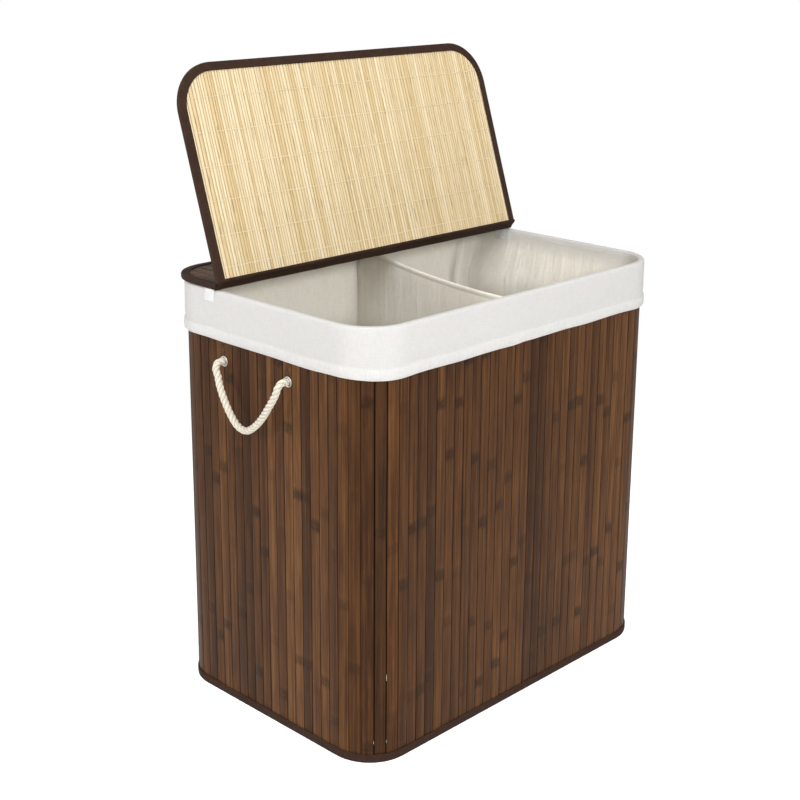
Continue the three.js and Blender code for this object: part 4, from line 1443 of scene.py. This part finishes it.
class HAMPER_OT_liner(bpy.types.Operator):
    """Drapes the liner: hem, cuff, rim fold, loose walls and floor"""

    bl_idname = "hamper.liner"
    bl_label = "Liner"

    def execute(self, context):
        sizes = context.scene.hamper_sizes
        stations = outline_stations(LINER_STEP)
        ripple = soft_wave(3, 9, 34)
        broad = soft_wave(8, 3, 11)
        drop = soft_wave(21, 5, 19)
        rows = []
        for number, (inset_x, inset_y, z) in enumerate(LINER_SECTION):
            height = z * MM
            loop = wall_loop(inset_x * MM, inset_y * MM, LINER_STEP)
            row = []
            for distance, point in zip(stations, loop):
                outward = outline_point(distance)[1]
                if number < CUFF_STRAIGHT_ROWS:
                    share = min(1.0, (0.592 - height) / 0.045)
                    push = share * sizes.ripple * (0.75 * ripple(distance) + 0.5 * broad(distance))
                    lift = share * 1.1 * MM * drop(distance)
                    kink = bump(distance - KINK_AT, KINK_WIDTH)
                    lift += 1.3 * MM * kink * share
                    push += 0.5 * MM * kink * share
                    row.append(point + outward * max(push, -0.6 * MM) + Vector((0, 0, height + lift)))
                elif number < CUFF_ROWS + 3:
                    row.append(point + Vector((0, 0, height)))
                else:
                    inwards = fold_at(distance, height) * sizes.fold_depth
                    slack = min(1.0, (0.59 - height) / 0.08)
                    inwards += slack * 1.4 * MM * (0.5 + 0.5 * broad(distance + 0.25 * height))
                    row.append(point - outward * inwards + Vector((0, 0, height)))
            rows.append(row)
        across = steps_along(rows[0], closed=True)
        along = steps_along([Vector((0, y * MM, z * MM)) for _, y, z in LINER_SECTION])
        wall = loft("draped_liner", rows, across, along, ring=True)
        # Inside the bins the cloth takes its painted-light colour, brighter and warmer than the cuff.
        inside = [min(1.0, max(0.0, (number - CUFF_ROWS) / 3)) for number in range(len(rows))]
        tag_points(wall, "hem", [float(number in HEM_ROWS) for number in range(len(rows)) for _ in stations])
        tag_points(wall, "inside", [share for share in inside for _ in stations])
        # Painted shade beside the sewn corners and the divider's ends, kept on the points for the cloth to
        # darken by.
        seams = []
        for share, row in zip(inside, rows):
            seams.extend(share * seam_shade(distance, point) for distance, point in zip(stations, row))
        tag_points(wall, "seam", seams)
        thickened(wall, LINER_THICKNESS, 60)
        dress(wall, "Liner cloth", BODY, ["liner_wall"])
        even = smooth_path(rows[HEM_STITCH_ROW], STITCH_PITCH, closed=True)
        normals = outward_normals(even)
        lifted = [p + n * 0.62 * MM for p, n in zip(even, normals)]
        stitches = stitch_row("hem_stitches", lifted, normals)
        dress(stitches, "Pale thread")
        self.lay_floor()
        return {"FINISHED"}

    def lay_floor(self):
        """The liner's floor, with slight waves."""
        wave = soft_wave(31, 2, 9)
        loop = wall_loop(*FLOOR_INSETS, FLOOR_STEP)
        rows = []
        for share in FLOOR_SHARES:
            row = []
            for number, point in enumerate(loop):
                lift = 0.45 * MM * (1 - share ** 4) * wave(number * FLOOR_STEP + share)
                row.append(Vector((share * point.x, share * point.y, FLOOR_HEIGHT + lift)))
            rows.append(row)
        across = steps_along(rows[0], closed=True)
        along = [0.2 * (1 - share) for share in FLOOR_SHARES]
        floor = loft("liner_floor_cloth", rows, across, along, ring=True)
        only(floor)
        bpy.ops.object.mode_set(mode="EDIT")
        pick(floor, "edges", lambda co: all(math.hypot(c.x, c.y) < 0.0095 for c in co))
        bpy.ops.mesh.edge_face_add()
        close_edit()
        unwrap(floor, lambda point: (point.x, point.y))
        # The floor takes the cloth's painted-light colour for inside the bins.
        tag(floor, "inside", 1.0)
        thickened(floor, 1.0 * MM, 60)
        dress(floor, "Liner cloth", BODY, ["liner_floor"])


DIVIDER_REACH = 190.6 * MM
DIVIDER_BOTTOM = 6.4 * MM
DIVIDER_FRONT_X = -8 * MM
DIVIDER_BACK_X = 56 * MM
DIVIDER_COLUMNS = 64
# The height of the divider's top edge at the back, in the middle of the sag and at the front.
DIVIDER_TOPS = (594 * MM, 574 * MM, 586 * MM)
# Its doubled cloth: half thickness and depth below the top edge, then shares of the rest.
DIVIDER_HEM = (
    (0.0, 0.0), (0.7, 0.25), (1.25, 1.3), (1.35, 3.2), (1.1, 5.4), (0.6, 6.6), (0.85, 8.4), (1.05, 12.0),
)
DIVIDER_SHARES = (0.04, 0.09, 0.16, 0.25, 0.36, 0.5, 0.65, 0.8, 0.93, 1.0)


def divider_top(y):
    """The height of the divider's sagging top edge."""
    share = (DIVIDER_REACH - y) / (2 * DIVIDER_REACH)
    back, middle, front = DIVIDER_TOPS
    return (1 - share) ** 2 * back + 2 * share * (1 - share) * middle + share ** 2 * front


class HAMPER_OT_divider(bpy.types.Operator):
    """Hangs the doubled cloth between the two bins, with its stitched top edge"""

    bl_idname = "hamper.divider"
    bl_label = "Divider"

    def execute(self, context):
        wave = soft_wave(44, 4, 16)
        columns = [DIVIDER_REACH * (1 - 2 * k / DIVIDER_COLUMNS) for k in range(DIVIDER_COLUMNS + 1)]
        half = [(thick * MM, drop * MM) for thick, drop in DIVIDER_HEM]
        section = [(-thick, drop, None) for thick, drop in reversed(half)]
        section += [(thick, drop, None) for thick, drop in half[1:]]
        thick, drop = half[-1]
        section = [(-thick, drop, share) for share in reversed(DIVIDER_SHARES)] + section
        section += [(thick, drop, share) for share in DIVIDER_SHARES]
        rows = []
        for thick, drop, share in section:
            row = []
            for y in columns:
                top = divider_top(y)
                z = top - drop
                if share is not None:
                    z = z + (DIVIDER_BOTTOM - z) * share
                ends = 1 - (y / DIVIDER_REACH) ** 4
                level = (z - DIVIDER_BOTTOM) / (top - DIVIDER_BOTTOM)
                loose = ends * (1 - (2 * level - 1) ** 2 * 0.75) * min(1.0, 4 * level)
                sway = 3.0 * MM * loose * wave(y + 0.35 * z)
                slant = DIVIDER_BACK_X - DIVIDER_FRONT_X
                middle = DIVIDER_FRONT_X + slant * (0.5 + 0.5 * y / DIVIDER_REACH)
                row.append(Vector((middle + thick + sway, y, z)))
            rows.append(row)
        across = steps_along(rows[0])
        heights = [(0.59 - drop) * (1 - (share or 0)) for _, drop, share in section]
        along = steps_along([Vector((entry[0], 0, height)) for entry, height in zip(section, heights)])
        cloth = loft("hanging_divider", rows, across, along)
        # The divider takes the cloth's painted-light colour for inside the bins.
        tag(cloth, "inside", 1.0)
        # Painted shade at the divider's two ends, where it meets the walls.
        ends = [0.55 * bump(DIVIDER_REACH - abs(y), 6 * MM) for y in columns]
        tag_points(cloth, "seam", ends * len(rows))
        stitch_rows = [rows[len(DIVIDER_SHARES) + 2], rows[-len(DIVIDER_SHARES) - 3]]
        thickened(cloth, 0.75 * MM, 60)
        dress(cloth, "Liner cloth", BODY, ["divider"])
        seams = []
        for sign, line in zip((-1, 1), stitch_rows):
            raised = [point + Vector((sign * 0.4 * MM, 0, 0)) for point in line]
            even = smooth_path(raised, STITCH_PITCH)[1:-1]
            seams.append(stitch_row("divider_stitches", even, [Vector((sign, 0, 0))] * len(even)))
        seam = joined(seams, "divider_hem_stitches")
        dress(seam, "Pale thread")
        return {"FINISHED"}


# Hidden cloth: the wall's backing, the base board's hinge tape and the braces' pockets

BACKING_INSET = 3.8 * MM
BACKING_ROWS = 15
TAPE_HALF_LENGTH = 210 * MM
TAPE_Y = 193.4 * MM
# Height, and how far the tape stands out.
TAPE_SECTION = (
    (0.5, 0.05), (2.0, 0.2), (4.0, 0.0), (12.0, 0.1), (20.0, -0.05), (29.0, 0.05), (33.0, 0.2), (36.0, 0.05),
)
TAPE_COLUMNS = 70
SHEET_CLOTH = 0.8 * MM
POCKET_HALF = 5.75 * MM
POCKET_FRONT = 1.75 * MM
POCKET_WALL = 5.1 * MM
POCKET_LENGTH = 28 * MM
POCKET_PLACE = 206.04 * MM
POCKET_ROWS = 7
BRACE_MIDDLE = 246 * MM
BRACE_LEAN = math.atan2(232, 388)
BRACE_INSETS = {"rear": (6.9 * MM, 1), "fore": (9.2 * MM, -1)}


def pocket_sleeve(wall_gap):
    """A flat sleeve of cloth round a strip that runs along Z, with its back on the wall towards -X."""
    back = POCKET_WALL - wall_gap
    corner = 0.9 * MM
    ring = []
    for x, y, start in (
        (POCKET_FRONT - corner, POCKET_HALF - corner, 0),
        (back + corner, POCKET_HALF - corner, 1),
        (back + corner, -POCKET_HALF + corner, 2),
        (POCKET_FRONT - corner, -POCKET_HALF + corner, 3),
    ):
        for k in range(4):
            angle = (start + k / 3) * QUARTER
            ring.append((x + corner * math.cos(angle), y + corner * math.sin(angle)))
    rows = []
    for row in range(POCKET_ROWS):
        share = row / (POCKET_ROWS - 1)
        swell = 1 + 0.035 * math.sin(math.pi * share)
        height = (share - 0.5) * POCKET_LENGTH
        rows.append([Vector((x, y * swell, height)) for x, y in ring])
    across = steps_along([Vector((x, y, 0)) for x, y in ring], closed=True)
    along = [row * POCKET_LENGTH / (POCKET_ROWS - 1) for row in range(POCKET_ROWS)]
    return loft("sleeve", rows, across, along, ring=True), across[-1]


class HAMPER_OT_hidden_cloth(bpy.types.Operator):
    """Lays the backing behind the slats, the tape under the board's edge and the braces' pockets"""

    bl_idname = "hamper.hidden_cloth"
    bl_label = "Hidden cloth"

    def execute(self, context):
        rows = []
        rise = SLAT_TOP - SLAT_BOTTOM
        heights = [SLAT_BOTTOM + rise * k / (BACKING_ROWS - 1) for k in range(BACKING_ROWS)]
        for height in heights:
            loop = wall_loop(BACKING_INSET, BACKING_INSET, 16 * MM)
            rows.append([point + Vector((0, 0, height)) for point in loop])
        across = steps_along(rows[0], closed=True)
        backing = loft("glued_wall_backing", rows, across, heights, ring=True)
        apply_modifier(backing, "SOLIDIFY", thickness=SHEET_CLOTH, offset=0)
        for side in (-1, 1):
            drill_holes(backing, side)
        outwards(backing)
        smooth(backing, 50)
        dress(backing, "Brown backing", BODY, ["wall_backing"])
        self.lay_tape()
        for side, name in ((-1, "left"), (1, "right")):
            self.sew_pockets(side, name)
        return {"FINISHED"}

    def lay_tape(self):
        """The tape that hinges the base board to the back wall."""
        wave = soft_wave(91, 6, 22)
        rows = []
        for height, out in TAPE_SECTION:
            row = []
            for k in range(TAPE_COLUMNS + 1):
                x = TAPE_HALF_LENGTH * (2 * k / TAPE_COLUMNS - 1)
                row.append(Vector((x, TAPE_Y - out * MM - 0.08 * MM * wave(x + HALF_WIDTH), height * MM)))
            rows.append(row)
        along = steps_along([row[0] for row in rows])
        tape = thickened(loft("sewn_base_tape", rows, steps_along(rows[0]), along), SHEET_CLOTH, 50)
        dress(tape, "Brown backing", BODY, ["base_hinge_tape"])

    def sew_pockets(self, side, name):
        """The four sleeves that hold one side's crossed braces."""
        sleeves = []
        stands_for = []
        turn = Matrix.Rotation(math.pi if side > 0 else 0.0, 4, "Z")
        for layer, (inset, lean) in BRACE_INSETS.items():
            place = Matrix.Translation((inset - HALF_WIDTH, 0, BRACE_MIDDLE))
            place = turn @ place @ Matrix.Rotation(-lean * BRACE_LEAN, 4, "X")
            for end, sign in (("lower", -1), ("upper", 1)):
                sleeve, girth = pocket_sleeve(inset)
                sleeve.data.transform(place @ Matrix.Translation((0, 0, sign * POCKET_PLACE)))
                sleeves.append(sleeve)
                stands_for.append(f"{name}_brace_{layer}_{end}_pocket")
        pockets = joined(sleeves, f"sewn_{name}_brace_pockets")
        thickened(pockets, SHEET_CLOTH, 50)
        dress(pockets, "Brown backing", BODY, stands_for)


# Lid and flap, modelled lying closed with their top at height 0 and the crease on the X axis

# The last entry of each sheet lifts the tone of its slats and sticks: painted light that makes the flap's
# slats paler, standing in for the sheen on their upper side.
SHEETS = {
    "lid": {
        "front": LID_FRONT,
        "back": -CREASE_GAP,
        "front_radius": LID_CORNER,
        "back_radius": 0.0,
        "painted_sheen": 0.0,
    },
    "flap": {
        "front": CREASE_GAP,
        "back": FLAP_BACK,
        "front_radius": 0.0,
        "back_radius": LID_CORNER,
        "painted_sheen": 0.3,
    },
}
SHEET_BOTTOM = -LID_THICKNESS
MAT_INSET = BINDING_CLOTH + LAYER_GAP
OUTER_MAT_FACE = -MAT_INSET
INNER_MAT_FACE = SHEET_BOTTOM + MAT_INSET
STICK_LEVELS = 4
STICK_SHAKE = 0.1 * MM
# Length of a slat or stick before its ends are cut to the sheet's outline.
LAID_LENGTH = 0.3
# The binding threads' distances from the crease.
THREAD_ROWS = (19 * MM, 62 * MM, 108 * MM, 155 * MM, 202 * MM, 249 * MM)
THREAD_RADIUS = 0.34 * MM
CREASE_TAPE = 2.6 * MM
SHEET_EDGING_CLOTH = 0.55 * MM
# Which row of the tape's section lies on its outermost line.
SHEET_EDGE_ROW = 12


def sheet_reach(sheet, x, inset):
    """The sheet's front and back edge at a place along its width, rounded at its round corners."""
    ends = []
    for end, radius, sign in (
        (sheet["front"], sheet["front_radius"], 1),
        (sheet["back"], sheet["back_radius"], -1),
    ):
        edge = end + sign * inset
        past = abs(x) - (LID_HALF_WIDTH - radius)
        if radius > 0 and past > 0:
            reach = radius - inset
            edge += sign * (reach - math.sqrt(max(0.0, reach * reach - past * past)))
        ends.append(edge)
    return ends


def laid_along(template, x, sheet, inset, face, up, dice, shake, widen=1.0):
    """A copy of an upright slat, laid along Y on the sheet, its ends cut to the sheet's outline."""
    twin = copied(template, "laid")
    shake_sides(twin, dice, shake)
    for vert in twin.data.vertices:
        across = x + vert.co.x * widen
        low, high = sheet_reach(sheet, across, inset)
        share = vert.co.z / LAID_LENGTH
        vert.co = (across, low + (high - low) * share, face - up * vert.co.y)
    # Painted light: the sheet's lift makes its slats and sticks paler.
    tag(twin, "tone", tone_of(dice) + sheet["painted_sheen"])
    tag(twin, "seed", dice.random())
    return twin


def sheet_place(kind):
    """Where the lid or the flap stands in the photographed pose."""
    turn = -LID_ANGLE if kind == "lid" else 0.0
    return Matrix.Translation((0, CREASE_Y, HINGE_HEIGHT)) @ Matrix.Rotation(turn, 4, "X")


def outer_mat(kind, dice, gap):
    """Stained slats on the outside."""
    sheet = SHEETS[kind]
    inside = LID_HALF_WIDTH - MAT_INSET
    count = round(2 * inside / SLAT_PITCH)
    pitch = 2 * inside / count
    template = slat_template(pitch - gap, OUTER_MAT, LAID_LENGTH, SLAT_CROWN * 0.8)
    slats = []
    for number in range(count):
        x = -inside + (number + 0.5) * pitch
        inset = MAT_INSET + 0.4 * MM
        slats.append(laid_along(template, x, sheet, inset, OUTER_MAT_FACE, 1, dice, SLAT_SHAKE))
    removed(template)
    mat = joined(slats, f"walnut_{kind}_mat")
    outwards(mat)
    mat.data.transform(sheet_place(kind))
    return smooth(mat, 35)


def stick_template(width, thickness, length):
    """One fine stick with a rounded face."""
    rounding = min(width * 0.3, thickness * 0.8)
    bevel = {"offset": rounding, "segments": 2, "profile": 0.5, "clamp_overlap": True}
    return split_piece("stick", width, thickness, length, STICK_LEVELS, 0.62, **bevel)


def inner_mat(kind, dice, stick_pitch):
    """Fine natural sticks on the inside."""
    sheet = SHEETS[kind]
    inside = LID_HALF_WIDTH - MAT_INSET
    count = round(2 * inside / stick_pitch)
    pitch = 2 * inside / count
    widths = [dice.uniform(0.72, 1.28) * pitch for _ in range(count)]
    stretch = 2 * inside / sum(widths)
    template = stick_template(0.93 * pitch, INNER_MAT * 0.9, LAID_LENGTH)
    sticks = []
    x = -inside
    for width in widths:
        width *= stretch
        inset = MAT_INSET + 1.2 * MM
        face = INNER_MAT_FACE + dice.uniform(0.0, 0.15 * MM)
        middle = x + width / 2
        widen = width / pitch
        sticks.append(laid_along(template, middle, sheet, inset, face, -1, dice, STICK_SHAKE, widen))
        x += width
    removed(template)
    mat = joined(sticks, f"natural_{kind}_mat")
    outwards(mat)
    mat.data.transform(sheet_place(kind))
    return smooth(mat, 50)


def binding_threads(kind, stick_pitch):
    """Pairs of pale threads that cross each other between the sticks and hold them side by side."""
    sheet = SHEETS[kind]
    dice = random.Random(77)
    threads = []
    for crease_gap in THREAD_ROWS:
        y = sheet["back"] - crease_gap if kind == "lid" else sheet["front"] + crease_gap
        half = LID_HALF_WIDTH - 7 * MM
        if not sheet["front"] + 12 * MM < y < sheet["back"] - 12 * MM:
            continue
        front, back = sheet_reach(sheet, half, 8 * MM)
        while not front < y < back:
            half -= 2 * MM
            front, back = sheet_reach(sheet, half, 8 * MM)
        count = int(2 * half / stick_pitch)
        for phase in (0, 1):
            rows = []
            for k in range(2 * count + 1):
                turn = math.pi * (k / 2 + phase)
                x = -half + k * stick_pitch / 2
                rise = INNER_MAT_FACE - 0.05 * MM - math.cos(turn) * 0.32 * MM
                centre = Vector((x, y + 0.35 * MM * math.sin(turn), rise))
                centre.y += 0.5 * MM * math.sin(x * 21 + crease_gap * 90) + dice.uniform(-0.1, 0.1) * MM
                rows.append([
                    centre + THREAD_RADIUS * Vector((0, math.cos(a), 0.7 * math.sin(a)))
                    for a in (2 * math.pi * c / 6 for c in range(6))
                ])
            across = [c * 0.4 * MM for c in range(7)]
            along = [k * stick_pitch / 2 for k in range(len(rows) + 1)]
            threads.append(loft("thread", rows, across, along, ring=True, caps=True))
    if not threads:
        return None
    piece = joined(threads, f"{kind}_mat_threads")
    outwards(piece)
    piece.data.transform(sheet_place(kind))
    return smooth(piece, 80)


def sheet_loop(sheet, inset, step=8 * MM):
    """The sheet's outline at an inset, anticlockwise seen from above. The tape is narrow along the crease."""
    narrow = min(inset, CREASE_TAPE + (inset - CREASE_TAPE) * 0.15)
    front = sheet["front"] + (inset if sheet["front_radius"] else narrow)
    back = sheet["back"] - (inset if sheet["back_radius"] else narrow)
    corners = (
        (-1, front, sheet["front_radius"], 1),
        (1, front, sheet["front_radius"], 1),
        (1, back, sheet["back_radius"], -1),
        (-1, back, sheet["back_radius"], -1),
    )
    turns = []
    for number, (sign, y, full, to_y) in enumerate(corners):
        radius = full - inset if full else 0.0
        centre = Vector((sign * (LID_HALF_WIDTH - inset - radius), y + to_y * radius, 0))
        steps = 16 if full else 0
        arc = []
        for k in range(steps + 1):
            angle = (number + 2 + (k / steps if steps else 0)) * QUARTER
            arc.append(centre + radius * Vector((math.cos(angle), math.sin(angle), 0)) if full else centre)
        turns.append(arc)
    counts = [round(2 * LID_HALF_WIDTH / step), round((sheet["back"] - sheet["front"]) / step)] * 2
    points = []
    for number, arc in enumerate(turns):
        points.extend(arc)
        after = turns[(number + 1) % 4][0]
        for k in range(1, counts[number]):
            points.append(arc[-1].lerp(after, k / counts[number]))
    return points


def sheet_edging_section():
    """The tape round a sheet's edge seen from its end, from its inner edge on top to that underneath."""
    ridge = 0.22 * MM
    bulges = (0.1, 0.9, 1.0, 0.2, 0.0, 0.0, 0.35, 0.5, 0.3, 0.0)
    reaches = (12.5, 12.0, 11.2, 10.4, 9.0, 6.5, 4.6, 3.9, 3.2, 1.9)
    top = [(reach * MM, -0.62 * MM + ridge * bulge) for reach, bulge in zip(reaches, bulges)]
    low = [(inset, SHEET_BOTTOM - z) for inset, z in reversed(top)]
    middle = SHEET_BOTTOM / 2
    fold = [(0.85 * MM, -0.75 * MM), (0.45 * MM, -1.6 * MM), (0.38 * MM, middle)]
    fold += [(0.45 * MM, SHEET_BOTTOM + 1.6 * MM), (0.85 * MM, SHEET_BOTTOM + 0.75 * MM)]
    return top + fold + low


def sheet_edging(kind):
    """Brown tape folded round the edge of the lid or the flap."""
    sheet = SHEETS[kind]
    dice = random.Random(len(kind))
    section = sheet_edging_section()
    rows = []
    for number, (inset, z) in enumerate(section):
        row = []
        for point in sheet_loop(sheet, inset):
            wave = dice.uniform(-0.05, 0.05) * MM if 2 < number < len(section) - 3 else 0.0
            row.append(point + Vector((0, 0, z + wave)))
        rows.append(row)
    across = steps_along(rows[0], closed=True)
    along = steps_along([Vector((0, inset, z)) for inset, z in section])
    obj = loft(f"cloth_{kind}_binding", rows, across, along, ring=True)
    apply_modifier(obj, "SOLIDIFY", thickness=SHEET_EDGING_CLOTH, offset=0)
    outwards(obj)
    obj.data.transform(sheet_place(kind))
    return smooth(obj, 50), steps_along(rows[SHEET_EDGE_ROW], closed=True)[-1], along[-1]


class HAMPER_OT_lid_and_flap(bpy.types.Operator):
    """Lays the lid's and the flap's slats and sticks, their threads and their brown edging"""

    bl_idname = "hamper.lid_and_flap"
    bl_label = "Lid and flap"

    def execute(self, context):
        sizes = context.scene.hamper_sizes
        for kind, body, seed in (("lid", "lid", 101), ("flap", BODY, 202)):
            dice = random.Random(seed)
            mat = outer_mat(kind, dice, sizes.slat_gap)
            dress(mat, "Walnut bamboo", body, [f"{kind}_outer_mat"])
            sticks = inner_mat(kind, dice, sizes.stick_pitch)
            dress(sticks, "Natural sticks", body, [f"{kind}_inner_mat"])
            threads = binding_threads(kind, sizes.stick_pitch)
            if threads:
                dress(threads, "Straw thread", body)
            edging, length, width = sheet_edging(kind)
            dress(edging, "Brown edging", body, [f"{kind}_binding"])
        return {"FINISHED"}


# The cloth across the crease: distance from the back, height.
CREASE_SECTION = (
    (93.5, 601.05), (91.3, 601.1), (90.75, 602.4), (89.6, 604.9), (87.6, 607.8),
    (85.4, 610.4), (83.6, 612.4), (83.35, 613.6), (84.0, 615.6),
)
CREASE_COLUMNS = 76


class HAMPER_OT_crease(bpy.types.Operator):
    """Stretches the brown cloth that hinges the lid to the flap"""

    bl_idname = "hamper.crease"
    bl_label = "Crease cloth"

    def execute(self, context):
        wave = soft_wave(63, 10, 40)
        half = LID_HALF_WIDTH - 0.6 * MM
        rows = []
        for number, (y, z) in enumerate(CREASE_SECTION):
            row = []
            loose = math.sin(math.pi * number / (len(CREASE_SECTION) - 1))
            for k in range(CREASE_COLUMNS + 1):
                x = -half + 2 * half * k / CREASE_COLUMNS
                slack = 0.35 * MM * loose * wave(x + HALF_WIDTH)
                row.append(Vector((x, y * MM - slack, z * MM - slack)))
            rows.append(row)
        along = steps_along([Vector((0, y * MM, z * MM)) for y, z in CREASE_SECTION])
        cloth = thickened(loft("crease_cloth", rows, steps_along(rows[0]), along), 0.5 * MM, 60)
        dress(cloth, "Brown edging", None, ["crease_fold"])
        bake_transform(cloth)
        return {"FINISHED"}


# Solids that keep their own shape

KEPT_SOLIDS = (
    ("Fibre board", ("base_board", "lid_board", "flap_board")),
    ("Dull steel", ("_leaning", "_brace_rivet")),
    ("Bright steel", ("_eyelet_washer",)),
)


class HAMPER_OT_kept_solids(bpy.types.Operator):
    """Gives boards, braces, rivets and washers their finishes"""

    bl_idname = "hamper.kept_solids"
    bl_label = "Boards and braces"

    def execute(self, context):
        for finish, endings in KEPT_SOLIDS:
            for name, node in frame["nodes"].items():
                if name.endswith(endings):
                    for place in node.material_slots:
                        place.material = FINISH[finish]
        return {"FINISHED"}


class HAMPER_PT_pieces(bpy.types.Panel):
    """Lists the hamper's choices and pieces"""

    bl_idname = "HAMPER_PT_pieces"
    bl_label = "Laundry hamper"
    bl_space_type = "VIEW_3D"
    bl_region_type = "UI"
    bl_category = "Hamper"

    def draw(self, context):
        column = self.layout.column()
        for choices in (context.scene.hamper_sizes, context.scene.hamper_colours):
            for name in choices.__annotations__:
                column.prop(choices, name)
        for maker in MAKERS:
            column.operator(maker.bl_idname)


MAKERS = (
    HAMPER_OT_finishes,
    HAMPER_OT_stage,
    HAMPER_OT_handles,
    HAMPER_OT_wall_slats,
    HAMPER_OT_closing_strip,
    HAMPER_OT_wall_edgings,
    HAMPER_OT_hidden_cloth,
    HAMPER_OT_liner,
    HAMPER_OT_divider,
    HAMPER_OT_lid_and_flap,
    HAMPER_OT_crease,
    HAMPER_OT_eyelets,
    HAMPER_OT_clips,
    HAMPER_OT_kept_solids,
)
CLASSES = (HamperSizes, HamperColours, *MAKERS, HAMPER_PT_pieces)


def register():
    """Makes the hamper's choices, operators and panel known."""
    for kind in CLASSES:
        bpy.utils.register_class(kind)
    bpy.types.Scene.hamper_sizes = bpy.props.PointerProperty(type=HamperSizes)
    bpy.types.Scene.hamper_colours = bpy.props.PointerProperty(type=HamperColours)


def unregister():
    """Takes them away again."""
    del bpy.types.Scene.hamper_colours
    del bpy.types.Scene.hamper_sizes
    for kind in reversed(CLASSES):
        bpy.utils.unregister_class(kind)


def main():
    """Registers the hamper's choices and makes every piece in order."""
    register()
    for maker in MAKERS:
        group, name = maker.bl_idname.split(".")
        getattr(getattr(bpy.ops, group), name)()


if __name__ == "__main__":
    main()
